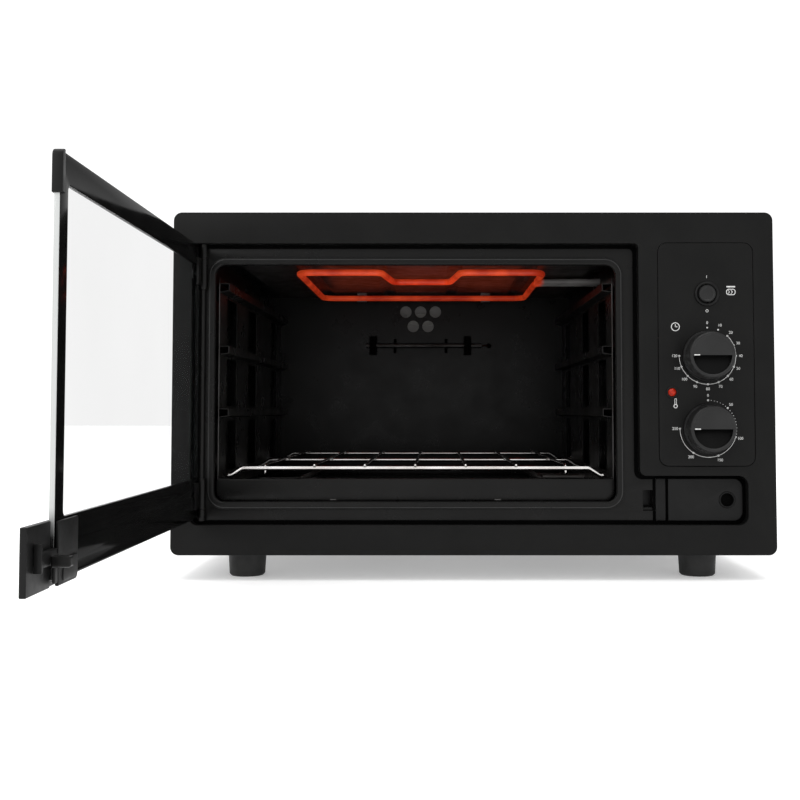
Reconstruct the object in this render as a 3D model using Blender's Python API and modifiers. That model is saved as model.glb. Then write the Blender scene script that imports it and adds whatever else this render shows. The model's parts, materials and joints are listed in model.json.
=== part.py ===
"""Counter-top grill oven with a side-hinged glass door, modelled with the door open at a right angle.

+X is to the right, +Y to the back and +Z up. The feet stand on Z = 0. Depths are counted backwards from the
front face of the fascia.
"""
import math

import bmesh
import bpy
from mathutils import Matrix, Vector

# Overall sizes, metres
WIDTH = 0.580
FASCIA_HEIGHT = 0.330
FOOT_HEIGHT = 0.0243
BODY_DEPTH = 0.520
SPACER_DEPTH = 0.020
GAP = 0.0003
SHEET = 0.0012
GLASS_THICKNESS = 0.0035
KNUCKLE_RADIUS = 0.0034
HINGE_DEPTH = GLASS_THICKNESS + GAP + KNUCKLE_RADIUS

# Fascia, the L-shaped cut-out in it and the frame behind; the control column keeps its width
BODY_BOTTOM = FOOT_HEIGHT
BODY_TOP = BODY_BOTTOM + FASCIA_HEIGHT
FASCIA_DEPTH = 0.022
FASCIA_CORNER = 0.008
COLUMN_WIDTH = 0.1305
DOOR_LEFT = 0.0185 - WIDTH / 2
DOOR_RIGHT = WIDTH / 2 - COLUMN_WIDTH
DOOR_BOTTOM = BODY_BOTTOM + 0.0287
DOOR_TOP = BODY_TOP - 0.0303
WELL_RIGHT = WIDTH / 2 - 0.0271
WELL_TOP = DOOR_BOTTOM + 0.0469
FRAME_INSET = 0.0035
FRAME_FRONT = HINGE_DEPTH + KNUCKLE_RADIUS + 0.0006
RIM_WIDTH = 0.0072
RIM_FRONT = FRAME_FRONT - 0.0038
FLANGE_FRONT = FRAME_FRONT + 0.001
FRAME_BACK = FLANGE_FRONT + 0.0015
WELL_BOTTOM = DOOR_BOTTOM + FRAME_INSET
WELL_FACE = FRAME_FRONT - 0.0026
BAR_LEFT = DOOR_RIGHT + 0.0162
BAR_WIDTH = 0.0097
PLATE_LEFT = DOOR_RIGHT + 0.0282

# Cavity
CAVITY_X = (DOOR_LEFT + DOOR_RIGHT) / 2
OPENING_HALF = (DOOR_RIGHT - DOOR_LEFT) / 2 - 0.0211
OPENING_BOTTOM = DOOR_BOTTOM + 0.0215
OPENING_TOP = DOOR_TOP - 0.020
OPENING_CORNER = 0.010
CAVITY_HALF = OPENING_HALF + 0.0096
CAVITY_TOP = OPENING_TOP + 0.0145
CAVITY_FLOOR = OPENING_BOTTOM + 0.0004
CAVITY_DEPTH = BODY_DEPTH - 0.050
LINER_FRONT = FRAME_BACK + GAP
LINER_BACK = LINER_FRONT + CAVITY_DEPTH
LINER_SHEET = 0.0008
LINER_HALF = OPENING_HALF - 0.0004
LEDGE_REACH = 0.0095
LEDGE_HEIGHT = 0.009
LEDGE_LOW = OPENING_BOTTOM + 0.017
LEDGE_HIGH = OPENING_TOP - 0.020
LEDGE_PITCH = (LEDGE_HIGH - LEDGE_LOW) * 0.322
LEDGE_LEVELS = (LEDGE_LOW, LEDGE_HIGH - 2 * LEDGE_PITCH, LEDGE_HIGH - LEDGE_PITCH, LEDGE_HIGH)
REFLECTOR_Z = CAVITY_TOP - 0.0035

# Heating elements
ELEMENT_RADIUS = 0.0034
ELEMENT_X = CAVITY_X + 0.004
ELEMENT_HALF = CAVITY_HALF - 0.075
ELEMENT_FRONT = 0.100
ELEMENT_BACK = CAVITY_DEPTH - 0.091
ELEMENT_CORNER = 0.016
ELEMENT_JOG = 0.090
LEAD_DEPTHS = (0.185, 0.205)
REST_DEPTH = (0.236, 0.246)
UPPER_ELEMENT_Z = REFLECTOR_Z - 0.004 - ELEMENT_RADIUS
LOWER_ELEMENT_Z = OPENING_BOTTOM + 0.014

# Lamp, and the thermostat's bulb on the back wall
LAMP_X = CAVITY_X - 0.0013
LAMP_Z = CAVITY_TOP - 0.0295
LAMP_PITCH = 0.0204
LAMP_HOLE = 0.008
BULB_RADIUS = 0.0030
SENSOR_Z = CAVITY_TOP - 0.0665
SENSOR_X = (LAMP_X - 0.0747, LAMP_X + 0.0843)
CLIP_X = (SENSOR_X[0] + 0.0095, SENSOR_X[1] - 0.0196)

# Shelf and tray
SHELF_WIRE = 0.00225
SHELF_BAR = 0.0015
SHELF_FRONT = 0.035
SHELF_BACK = CAVITY_DEPTH - 0.029
SHELF_RAIL = LEDGE_LOW + LEDGE_HEIGHT / 2 + GAP + SHELF_WIRE
SHELF_DROP = 0.0071
SHELF_BARS = 7
SHELF_PITCH = (LINER_HALF - 0.0452) / 3
TRAY_HALF = OPENING_HALF - 0.0009
TRAY_BOTTOM = CAVITY_FLOOR + GAP
TRAY_TOP = SHELF_RAIL - SHELF_WIRE - GAP - 0.0001
TRAY_FRONT = 0.0175
TRAY_LENGTH = CAVITY_DEPTH - 0.020
TRAY_SHEET = 0.0008

# Door and its hinge
DOOR_OPEN = 90
HINGE_X = DOOR_LEFT + HINGE_DEPTH + 0.0025
HINGE_ROD_RADIUS = 0.0018
GLASS_LEFT = DOOR_LEFT + 0.0075
GLASS_RIGHT = DOOR_RIGHT - 0.002
GLASS_BOTTOM = DOOR_BOTTOM + 0.006
GLASS_TOP = DOOR_TOP - 0.002
GLASS_CORNER = 0.004
INNER_FACE = GLASS_THICKNESS + GAP
HINGE_SCREWS = (GLASS_TOP - 0.0276, GLASS_BOTTOM + 0.0236)
HINGE_SCREW_X = HINGE_X + 0.0088
GRIP_HEIGHT = 0.0401
GRIP_REACH = 0.0414
GRIP_Z = DOOR_BOTTOM + 0.0229
GRIP_LEFT = GLASS_RIGHT - 0.0395
HANDLE_SCREW_X = GLASS_RIGHT - 0.0275
HANDLE_SCREWS = (GRIP_Z - 0.012, GRIP_Z + 0.012)
CLAMP_SHEET = 0.0022
CAP_HEIGHT = 0.0276
CAP_OVERLAP = 0.0040

# Catch
CATCH_X = DOOR_RIGHT + 0.0095
CATCH_ROLLER = 0.0030
CATCH_ROLLER_Z = GRIP_Z - 0.0093
CATCH_DEPTH = FRAME_BACK + 2 * GAP + 0.0028
CATCH_SHEET = 0.0018
SLOT_HALF = 0.005
SLOT_Z = (GRIP_Z - 0.0099, GRIP_Z + 0.0096)

# Controls, spread up the inlaid panel
CONTROL_X = WIDTH / 2 - 0.0646
PANEL_X = (CONTROL_X - 0.04705, CONTROL_X + 0.04465)
PANEL_BOTTOM = WELL_TOP + 0.0094
PANEL_TOP = BODY_TOP - 0.0299
PANEL_HEIGHT = PANEL_TOP - PANEL_BOTTOM
PANEL_SHEET = 0.0006
BUTTON_Z = PANEL_BOTTOM + 0.7703 * PANEL_HEIGHT
TIMER_Z = PANEL_BOTTOM + 0.4914 * PANEL_HEIGHT
THERMOSTAT_Z = PANEL_BOTTOM + 0.1660 * PANEL_HEIGHT
KNOB_RADIUS = 0.024
KNOB_HEIGHT = 0.022
KNOB_RECESS = 0.0075
SHAFT_RADIUS = 0.003
BUTTON_RADIUS = 0.0084
BUTTON_TRAVEL = 0.003
PILOT_X = CONTROL_X - 0.0344
PILOT_Z = (TIMER_Z + THERMOSTAT_Z) / 2

# Feet and the cord's inlet
FOOT_RADIUS = 0.0185
FOOT_X = WIDTH / 2 - 0.067
FOOT_DEPTHS = (0.045, BODY_DEPTH - 0.045)
INLET_X = WIDTH / 2 - 0.065
INLET_Z = 0.075
INLET_RADIUS = 0.0110

DOOR_REACH = GLASS_RIGHT + GRIP_REACH - HINGE_X - HINGE_DEPTH
FRONT_Y = (DOOR_REACH - BODY_DEPTH - SPACER_DEPTH) / 2
UP = Vector((0, 0, 1))

MATERIALS = {
    "black_paint": ((0.012, 0.012, 0.011), 0.45, 0.0),
    "black_enamel": ((0.010, 0.010, 0.010), 0.25, 0.0),
    "black_plastic": ((0.014, 0.014, 0.014), 0.4, 0.0),
    "zinc_steel": ((0.45, 0.45, 0.44), 0.4, 1.0),
    "dark_steel": ((0.10, 0.10, 0.10), 0.45, 1.0),
    "chrome": ((0.75, 0.75, 0.75), 0.15, 1.0),
    "element": ((0.55, 0.06, 0.02), 0.5, 0.0),
    "glass": ((0.6, 0.65, 0.65), 0.03, 0.0),
    "ceramic": ((0.75, 0.72, 0.66), 0.6, 0.0),
    "rubber": ((0.015, 0.015, 0.015), 0.8, 0.0),
    "red_lens": ((0.7, 0.03, 0.01), 0.2, 0.0),
    "copper": ((0.7, 0.3, 0.16), 0.35, 1.0),
}

for old in list(bpy.data.objects):
    bpy.data.objects.remove(old, do_unlink=True)

OVEN = bpy.data.collections.new("grill_oven")
CUTTERS = bpy.data.collections.new("cutters")
bpy.context.scene.collection.children.link(OVEN)
bpy.context.scene.collection.children.link(CUTTERS)


def material(name):
    found = bpy.data.materials.get(name)
    if found:
        return found
    color, roughness, metallic = MATERIALS[name]
    made = bpy.data.materials.new(name)
    made.use_nodes = True
    shader = made.node_tree.nodes["Principled BSDF"]
    shader.inputs["Base Color"].default_value = (*color, 1)
    shader.inputs["Roughness"].default_value = roughness
    shader.inputs["Metallic"].default_value = metallic
    return made


def at(x, depth, z):
    """A point given by its depth behind the fascia's front face."""
    return Vector((x, FRONT_Y + depth, z))


def add(name, data, finish, parent=None):
    made = bpy.data.objects.new(name, data)
    OVEN.objects.link(made)
    if finish:
        data.materials.append(material(finish))
    made.parent = parent
    return made


def as_cutter(tool):
    tool.hide_render = True
    tool.display_type = "WIRE"
    OVEN.objects.unlink(tool)
    CUTTERS.objects.link(tool)


def combine(target, operation, *tools):
    for tool in tools:
        as_cutter(tool)
        step = target.modifiers.new(operation.lower(), "BOOLEAN")
        step.operation = operation
        step.object = tool
    return target


def cut(target, *tools):
    return combine(target, "DIFFERENCE", *tools)


def fuse(target, *tools):
    return combine(target, "UNION", *tools)


def bevel(target, width, segments=2, angle=40):
    step = target.modifiers.new("bevel", "BEVEL")
    step.width = width
    step.segments = segments
    step.limit_method = "ANGLE"
    step.angle_limit = math.radians(angle)
    return target


def box(name, low, high, finish=None, parent=None):
    """A block between two corners, with its origin at its middle."""
    low = Vector(low)
    high = Vector(high)
    mesh = bpy.data.meshes.new(name)
    shape = bmesh.new()
    bmesh.ops.create_cube(shape, size=1)
    bmesh.ops.scale(shape, vec=high - low, verts=shape.verts)
    shape.to_mesh(mesh)
    shape.free()
    made = add(name, mesh, finish, parent)
    made.location = (low + high) / 2
    return made


def block(name, x, depth, z, finish=None):
    """A block of the housing from its spans in X, in depth and in Z."""
    return box(name, at(x[0], depth[0], z[0]), at(x[1], depth[1], z[1]), finish)


def rod(name, start, end, radius, finish=None, sides=20, parent=None):
    start = Vector(start)
    end = Vector(end)
    mesh = bpy.data.meshes.new(name)
    shape = bmesh.new()
    bmesh.ops.create_cone(shape, cap_ends=True, segments=sides, radius1=radius, radius2=radius,
                          depth=(end - start).length)
    shape.to_mesh(mesh)
    shape.free()
    mesh.shade_smooth()
    mesh.set_sharp_from_angle(angle=math.radians(40))
    made = add(name, mesh, finish, parent)
    made.location = (start + end) / 2
    made.rotation_euler = UP.rotation_difference(end - start).to_euler()
    return made


def turned(name, profile, place, finish=None, sides=32, facing="up", parent=None):
    """A turned shape. Its profile of (radius, height) runs down its outer side from the axis to the axis,
    or round a ring when it is closed. Facing front, its height points out of the fascia."""
    mesh = bpy.data.meshes.new(name)
    closed = profile[0][0] > 0
    points = [(radius, 0, height) for radius, height in profile]
    links = [(i, i + 1) for i in range(len(points) - 1)]
    if closed:
        links.append((len(points) - 1, 0))
    mesh.from_pydata(points, links, [])
    made = add(name, mesh, finish, parent)
    screw = made.modifiers.new("turn", "SCREW")
    screw.steps = sides
    screw.render_steps = sides
    screw.use_merge_vertices = True
    screw.merge_threshold = 0.00001
    screw.use_smooth_shade = True
    made.location = place
    if facing == "front":
        made.rotation_euler = (math.radians(90), 0, 0)
    return made


def rounded(corners, segments=5):
    """An outline from (x, y, radius) corners, each rounded by its own radius."""
    outline = []
    count = len(corners)
    for i, (x, y, radius) in enumerate(corners):
        here = Vector((x, y))
        if radius == 0:
            outline.append(here)
            continue
        before = (Vector(corners[i - 1][:2]) - here).normalized()
        after = (Vector(corners[(i + 1) % count][:2]) - here).normalized()
        half = before.angle(after) / 2
        reach = radius / math.tan(half)
        centre = here + (before + after).normalized() * radius / math.sin(half)
        first = here + before * reach - centre
        turn = first.angle_signed(here + after * reach - centre)
        for step in range(segments + 1):
            arm = first.copy()
            arm.rotate(Matrix.Rotation(-turn * step / segments, 2))
            outline.append(centre + arm)
    return outline


def rectangle(x, y, radius=0.0, grow=0.0):
    low_x, high_x = x[0] - grow, x[1] + grow
    low_y, high_y = y[0] - grow, y[1] + grow
    radius = max(radius + grow, 0)
    return [(low_x, low_y, radius), (high_x, low_y, radius), (high_x, high_y, radius),
            (low_x, high_y, radius)]


def circle(x, y, radius, sides=20):
    turns = [2 * math.pi * i / sides for i in range(sides)]
    return [Vector((x + radius * math.cos(t), y + radius * math.sin(t))) for t in turns]


def flat(name, outlines, thickness, place, turn=(0, 0, 0), finish=None, parent=None):
    """A flat sheet from one outline and the holes in it, as a mesh with its faces welded."""
    curve = bpy.data.curves.new(name, "CURVE")
    curve.dimensions = "2D"
    curve.fill_mode = "BOTH"
    curve.extrude = thickness / 2
    for outline in outlines:
        line = curve.splines.new("POLY")
        line.points.add(len(outline) - 1)
        for point, corner in zip(line.points, outline):
            point.co = (corner.x, corner.y, 0, 1)
        line.use_cyclic_u = True
    return settled(name, curve, place, turn, finish, parent)


def settled(name, curve, place, turn, finish, parent):
    """Turns a curve into a welded mesh object at the same place."""
    guide = bpy.data.objects.new(name + "_curve", curve)
    OVEN.objects.link(guide)
    bpy.context.view_layer.update()
    graph = bpy.context.evaluated_depsgraph_get()
    mesh = bpy.data.meshes.new_from_object(guide.evaluated_get(graph))
    shape = bmesh.new()
    shape.from_mesh(mesh)
    bmesh.ops.remove_doubles(shape, verts=shape.verts, dist=0.00001)
    bmesh.ops.recalc_face_normals(shape, faces=shape.faces)
    shape.to_mesh(mesh)
    shape.free()
    mesh.materials.clear()
    bpy.data.objects.remove(guide, do_unlink=True)
    mesh.shade_smooth()
    mesh.set_sharp_from_angle(angle=math.radians(40))
    made = add(name, mesh, finish, parent)
    made.location = place
    made.rotation_euler = turn
    return made


def panel(name, outlines, depth, finish=None):
    """A sheet parallel to the fascia that fills a span of depth, its outlines drawn in X and Z."""
    middle = at(0, (depth[0] + depth[1]) / 2, 0)
    return flat(name, outlines, depth[1] - depth[0], middle, (math.radians(90), 0, 0), finish)


def wire(name, points, radius, finish=None, sides_level=2, closed=False, place=(0, 0, 0), parent=None):
    """A round wire through a list of points."""
    curve = bpy.data.curves.new(name, "CURVE")
    curve.dimensions = "3D"
    curve.bevel_depth = radius
    curve.bevel_resolution = sides_level
    curve.use_fill_caps = True
    line = curve.splines.new("POLY")
    line.points.add(len(points) - 1)
    for point, spot in zip(line.points, points):
        point.co = (*spot, 1)
    line.use_cyclic_u = closed
    return settled(name, curve, place, (0, 0, 0), finish, parent)


def level_path(corners, z, segments=4):
    """Rounded corners drawn in X and depth, laid flat at one height."""
    return [at(point.x, point.y, z) for point in corners_open(corners, segments)]


def corners_open(corners, segments):
    """Like rounded, for a line with two free ends."""
    ends = [(*corners[0][:2], 0), *corners[1:-1], (*corners[-1][:2], 0)]
    return rounded(ends, segments)


# Housing

def door_cutout(grow=0.0):
    """The L-shaped cut-out for the door and the handle well, grown outwards by an offset."""
    left, right, top = DOOR_LEFT - grow, DOOR_RIGHT + grow, DOOR_TOP + grow
    bottom, well_right, well_top = DOOR_BOTTOM - grow, WELL_RIGHT + grow, WELL_TOP + grow
    return rounded([
        (left, bottom, 0.007 + grow),
        (well_right, bottom, 0.009 + grow),
        (well_right, well_top, 0.009 + grow),
        (right, well_top, 0.006 - grow / 2),
        (right, top, 0.0045 + grow),
        (left, top, 0.0045 + grow),
    ])


def opening(grow=0.0):
    span = (CAVITY_X - OPENING_HALF, CAVITY_X + OPENING_HALF)
    return rounded(rectangle(span, (OPENING_BOTTOM, OPENING_TOP), OPENING_CORNER, grow))


def front_outline(grow=0.0):
    span = (-WIDTH / 2, WIDTH / 2)
    return rounded(rectangle(span, (BODY_BOTTOM, BODY_TOP), FASCIA_CORNER, grow))


def panel_outline(grow=0.0):
    return rounded(rectangle(PANEL_X, (PANEL_BOTTOM, PANEL_TOP), 0.009, grow))


def control_holes():
    shaft_hole = SHAFT_RADIUS + 0.0012
    return [
        circle(CONTROL_X, BUTTON_Z, BUTTON_RADIUS + 0.0024),
        circle(CONTROL_X, TIMER_Z, shaft_hole),
        circle(CONTROL_X, THERMOSTAT_Z, shaft_hole),
        circle(PILOT_X, PILOT_Z, 0.0052),
    ]


def make_fascia():
    face = 0.0020
    wall = 0.0015
    fascia = panel("front_fascia", [front_outline(), door_cutout()], (0, FASCIA_DEPTH), "black_paint")
    behind = panel("fascia_hollow", [front_outline(-wall), door_cutout(wall)], (face, FASCIA_DEPTH + 0.01))
    collar_end = panel("collar_end", [door_cutout(wall + 0.001)], (FLANGE_FRONT - GAP, FASCIA_DEPTH + 0.01))
    pocket = panel("panel_pocket", [panel_outline(GAP)], (-0.01, PANEL_SHEET + GAP))
    cut(fascia, behind, collar_end, pocket)
    for i, hole in enumerate(control_holes()):
        cut(fascia, panel(f"fascia_hole_{i}", [hole], (-0.01, 0.01)))
    return fascia


def catch_slot():
    return rounded(rectangle((CATCH_X - SLOT_HALF, CATCH_X + SLOT_HALF), SLOT_Z))


def make_front_frame():
    """The frame behind the door: a flange under the fascia and a raised plate round the cavity opening."""
    plate_right = CATCH_X + SLOT_HALF - 0.0005
    left, right = DOOR_LEFT + FRAME_INSET, DOOR_RIGHT - FRAME_INSET
    bottom, top, well_top = WELL_BOTTOM, DOOR_TOP - FRAME_INSET, WELL_TOP - FRAME_INSET
    raised = rounded([
        (left, bottom, 0.005), (plate_right, bottom, 0), (plate_right, well_top, 0),
        (right, well_top, 0.007), (right, top, 0.005), (left, top, 0.005),
    ])
    frame = panel("front_frame", [raised, opening()], (FRAME_FRONT, FLANGE_FRONT + 0.0005), "black_enamel")
    flange = panel("frame_flange", [door_cutout(0.005), opening()], (FLANGE_FRONT, FRAME_BACK))
    slot = panel("frame_slot", [catch_slot()], (0, 0.02))
    return cut(fuse(frame, flange), slot)


def make_rim():
    ring = panel("cavity_rim", [opening(RIM_WIDTH), opening()], (RIM_FRONT, FRAME_FRONT - GAP),
                 "black_enamel")
    return bevel(ring, 0.0016)


def make_well():
    """The bar and the finger plate at the bottom of the handle well."""
    depth = (WELL_FACE, FLANGE_FRONT - GAP)
    z = (WELL_BOTTOM - 0.0003, WELL_TOP - FRAME_INSET + 0.0007)
    bar = block("well_bar", (BAR_LEFT, BAR_LEFT + BAR_WIDTH), depth, z, "black_plastic")
    bevel(bar, 0.0006)
    left, right = PLATE_LEFT, WELL_RIGHT - 0.003
    outline = rounded([(left, z[0], 0.001), (right, z[0], 0.009), (right, z[1], 0.009), (left, z[1], 0.001)])
    hole = circle(WELL_RIGHT - 0.0182, GRIP_Z + 0.0006, 0.0076)
    plate = panel("well_plate", [outline, hole], depth, "black_plastic")
    bevel(plate, 0.0006, 1)


def make_cover():
    """The wrap-round cover: two sides and the top in one sheet, with louvre slots in both sides."""
    half = WIDTH / 2 - 0.0005
    top = BODY_TOP - 0.0005
    low = BODY_BOTTOM + 0.0019
    inner = FASCIA_CORNER - SHEET
    outline = rounded([
        (half, low, 0), (half, top, FASCIA_CORNER), (-half, top, FASCIA_CORNER), (-half, low, 0),
        (-half + SHEET, low, 0), (-half + SHEET, top - SHEET, inner), (half - SHEET, top - SHEET, inner),
        (half - SHEET, low, 0),
    ])
    cover = panel("outer_cover", [outline], (FASCIA_DEPTH + GAP, BODY_DEPTH), "black_paint")
    slot_width, slot_height, pitch, count = 0.004, 0.060, 0.013, 12
    slot_low = BODY_TOP - 0.1293
    for side, first in (("right", 0.070), ("left", BODY_DEPTH - 0.220)):
        edge = half if side == "right" else -half
        for i in range(count):
            start = first + i * pitch
            cutter = block(f"louvre_{side}_{i}", (edge - 0.004, edge + 0.004), (start, start + slot_width),
                           (slot_low, slot_low + slot_height))
            cut(cover, cutter)
    return cover


def make_base():
    """The bottom sheet, with its two sides turned up inside the cover and slots for cooling air."""
    half = WIDTH / 2 - 0.0005 - SHEET - GAP
    low = BODY_BOTTOM + 0.0003
    lip = 0.012
    outline = rounded([
        (-half, low, 0), (half, low, 0), (half, low + lip, 0), (half - SHEET, low + lip, 0),
        (half - SHEET, low + SHEET, 0), (-half + SHEET, low + SHEET, 0), (-half + SHEET, low + lip, 0),
        (-half, low + lip, 0),
    ])
    base = panel("base_plate", [outline], (FASCIA_DEPTH + GAP, BODY_DEPTH), "zinc_steel")
    pitch = (BODY_DEPTH - 0.190) / 6
    for i in range(7):
        start = 0.100 + i * pitch
        for x in (-0.140, 0.040):
            slot = block(f"base_slot_{i}_{x:.2f}", (x, x + 0.070), (start, start + 0.005),
                         (low - 0.01, low + 0.01))
            cut(base, slot)
    for name, x, depth in foot_places():
        cut(base, rod(name + "_hole", at(x, depth, low - 0.01), at(x, depth, low + 0.01), 0.0043))
    return base


def foot_places():
    return [
        (f"foot_{end}_{side}", x, depth)
        for end, depth in zip(("front", "rear"), FOOT_DEPTHS)
        for side, x in (("left", -FOOT_X), ("right", FOOT_X))
    ]


def make_feet():
    top = BODY_BOTTOM
    stud = 0.006
    for name, x, depth in foot_places():
        profile = [(0, top + stud), (0.004, top + stud), (0.004, top), (FOOT_RADIUS, top),
                   (FOOT_RADIUS, top - 0.004), (FOOT_RADIUS - 0.001, 0.002), (FOOT_RADIUS - 0.003, 0), (0, 0)]
        turned(name, profile, at(x, depth, 0), "rubber", 20)


def make_rear_cover():
    """The back sheet, with a raised field that keeps the oven off the wall, slots and the cord's inlet."""
    half = WIDTH / 2 - 0.0005
    sheet_back = BODY_DEPTH + GAP + SHEET
    outline = rounded([
        (-half, BODY_BOTTOM + 0.0005, 0.002), (half, BODY_BOTTOM + 0.0005, 0.002),
        (half, BODY_TOP - 0.0005, FASCIA_CORNER), (-half, BODY_TOP - 0.0005, FASCIA_CORNER),
    ])
    cover = panel("rear_cover", [outline], (BODY_DEPTH + GAP, sheet_back), "black_paint")
    field_x, field_z = (0.090 - WIDTH / 2, WIDTH / 2 - 0.200), (0.080, BODY_TOP - 0.0543)
    outer = rounded(rectangle(field_x, field_z, 0.015))
    inner = rounded(rectangle(field_x, field_z, 0.015, -SHEET))
    back = BODY_DEPTH + SPACER_DEPTH
    fuse(cover, panel("rear_field", [outer], (BODY_DEPTH + GAP, back)))
    cut(cover, panel("rear_hollow", [inner], (BODY_DEPTH - 0.005, back - SHEET)))
    for i in range(8):
        x = WIDTH / 2 - 0.125 + i * 0.014
        slot = block(f"rear_slot_{i}", (x, x + 0.004), (BODY_DEPTH - 0.01, BODY_DEPTH + 0.01),
                     (BODY_TOP - 0.1443, BODY_TOP - 0.0643))
        cut(cover, slot)
    inlet = rod("inlet_hole", at(INLET_X, BODY_DEPTH - 0.01, INLET_Z),
                at(INLET_X, BODY_DEPTH + 0.01, INLET_Z), INLET_RADIUS)
    return cut(cover, inlet)


def make_cord_gland():
    face = -(BODY_DEPTH + GAP + SHEET + GAP)
    bore = 0.0040
    neck, flange = INLET_RADIUS - 0.0005, INLET_RADIUS + 0.003
    profile = [(bore, face + 0.012), (neck, face + 0.012), (neck, face), (flange, face),
               (flange, face - 0.003), (bore * 2, face - 0.012), (bore, face - 0.012)]
    turned("cord_gland", profile, at(INLET_X, 0, INLET_Z), "rubber", 24, "front")


def make_partition():
    """The wall between the cavity and the controls, with a window where the element ends pass."""
    left = DOOR_RIGHT + 0.0007
    x = (left, left + LINER_SHEET)
    depth = (LINER_FRONT + 0.0005, BODY_DEPTH - 0.028)
    wall = block("partition_wall", x, depth, (BODY_BOTTOM + 0.002, BODY_TOP - 0.0035), "zinc_steel")
    for i, z in enumerate((UPPER_ELEMENT_Z, LOWER_ELEMENT_Z)):
        window = block(f"partition_window_{i}", (x[0] - 0.01, x[1] + 0.01),
                       (LEAD_DEPTHS[0] - 0.012, LEAD_DEPTHS[1] + 0.012), (z - 0.008, z + 0.008))
        cut(wall, window)
    return wall


# Cavity

def lamp_holes():
    """Five holes in the back wall, three over two."""
    high, low = LAMP_Z + 0.010, LAMP_Z - 0.010
    rows = [(i, high) for i in (-1, 0, 1)] + [(i, low) for i in (-0.5, 0.5)]
    return [(LAMP_X + LAMP_PITCH * i, z) for i, z in rows]


def make_cavity_liner():
    """The enamelled oven chamber, open at the front."""
    x = (CAVITY_X - CAVITY_HALF, CAVITY_X + CAVITY_HALF)
    sheet = LINER_SHEET
    floor, top = CAVITY_FLOOR, CAVITY_TOP
    liner = block("cavity_liner", (x[0] - sheet, x[1] + sheet), (LINER_FRONT, LINER_BACK + sheet),
                  (floor - sheet, top + sheet), "black_enamel")
    cut(liner, block("cavity_space", x, (LINER_FRONT - 0.01, LINER_BACK), (floor, top)))
    wall = (LINER_BACK - 0.01, LINER_BACK + 0.01)
    for i, (hole_x, hole_z) in enumerate(lamp_holes()):
        cut(liner, rod(f"lamp_hole_{i}", at(hole_x, wall[0], hole_z), at(hole_x, wall[1], hole_z), LAMP_HOLE))
    for i, slot_x in enumerate((LAMP_X - 0.0352, LAMP_X + 0.0352)):
        cut(liner, block(f"back_slot_{i}", (slot_x - 0.002, slot_x + 0.002), wall,
                         (SENSOR_Z - 0.010, SENSOR_Z + 0.010)))
    hole_x = SENSOR_X[1] + 0.010
    cut(liner, rod("capillary_hole", at(hole_x, wall[0], SENSOR_Z), at(hole_x, wall[1], SENSOR_Z), 0.0035,
                   None, 12))
    for i, z in enumerate((UPPER_ELEMENT_Z, LOWER_ELEMENT_Z)):
        for j, depth in enumerate(LEAD_DEPTHS):
            cut(liner, rod(f"lead_hole_{i}_{j}", at(x[1] - 0.01, depth, z), at(x[1] + 0.01, depth, z),
                           ELEMENT_RADIUS + 0.0008, None, 12))
    return liner


def make_side_liner(side, sign):
    """A slotted wall panel whose pressed ledges carry the shelf."""
    depth = (0.030, CAVITY_DEPTH + 0.008)
    face = LINER_HALF
    back = LINER_HALF + LINER_SHEET
    reach = face - LEDGE_REACH
    low, high = LEDGE_LEVELS[0] - 0.012, LEDGE_LEVELS[-1] + 0.010
    slope = 0.0015
    inner, outer = [], []
    for z in LEDGE_LEVELS:
        bottom, top = z - LEDGE_HEIGHT / 2, z + LEDGE_HEIGHT / 2
        inner += [(face, bottom), (reach, bottom + slope), (reach, top - 0.0002), (face, top)]
        inset = LINER_SHEET
        outer += [(back, bottom + inset), (reach + inset, bottom + slope + inset * 0.7),
                  (reach + inset, top - inset), (back, top - inset)]
    points = [(face, low), *inner, (face, high), (back, high), *reversed(outer), (back, low)]
    outline = [Vector((CAVITY_X + sign * x, z)) for x, z in points]
    liner = panel(f"side_liner_{side}", [outline], depth, "black_enamel")
    rows = [(LEDGE_LEVELS[0] + 0.010, LEDGE_LEVELS[1] - 0.008),
            (LEDGE_LEVELS[1] + 0.007, LEDGE_LEVELS[2] - 0.007),
            (LEDGE_LEVELS[2] + 0.007, LEDGE_LEVELS[3] - 0.007)]
    edges = sorted((CAVITY_X + sign * (face - 0.002), CAVITY_X + sign * (back + 0.002)))
    spans = ((0.070, 0.130), (0.205, 0.265), (CAVITY_DEPTH - 0.085, CAVITY_DEPTH - 0.030))
    for i, span in enumerate(spans):
        for j, row in enumerate(rows):
            cut(liner, block(f"liner_slot_{side}_{i}_{j}", edges, span, row))
    notch_x = sorted((CAVITY_X + sign * (reach - 0.005), CAVITY_X + sign * (back + 0.005)))
    notch_depth, notch_top = (REST_DEPTH, LOWER_ELEMENT_Z - ELEMENT_RADIUS)
    if side == "right":
        notch_depth, notch_top = (LEAD_DEPTHS, LOWER_ELEMENT_Z + ELEMENT_RADIUS + 0.0012)
    notch = (notch_depth[0] - ELEMENT_RADIUS - 0.001, notch_depth[1] + ELEMENT_RADIUS + 0.001)
    cut(liner, block(f"liner_notch_{side}", notch_x, notch, (low - 0.01, notch_top)))
    return liner


def make_reflector():
    """The pressed plate under the chamber's ceiling, with ribs that run front to back."""
    z = REFLECTOR_Z
    half = CAVITY_HALF - 0.018
    rise = 0.002
    under = [(-half, z)]
    for share in (-0.645, -0.215, 0.215, 0.645):
        x = share * half
        under += [(x - 0.008, z), (x - 0.004, z + rise), (x + 0.004, z + rise), (x + 0.008, z)]
    under.append((half, z))
    over = [(x, y + LINER_SHEET) for x, y in reversed(under)]
    outline = [Vector((CAVITY_X + x, y)) for x, y in under + over]
    return panel("top_reflector", [outline], (0.050, CAVITY_DEPTH - 0.020), "dark_steel")


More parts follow.
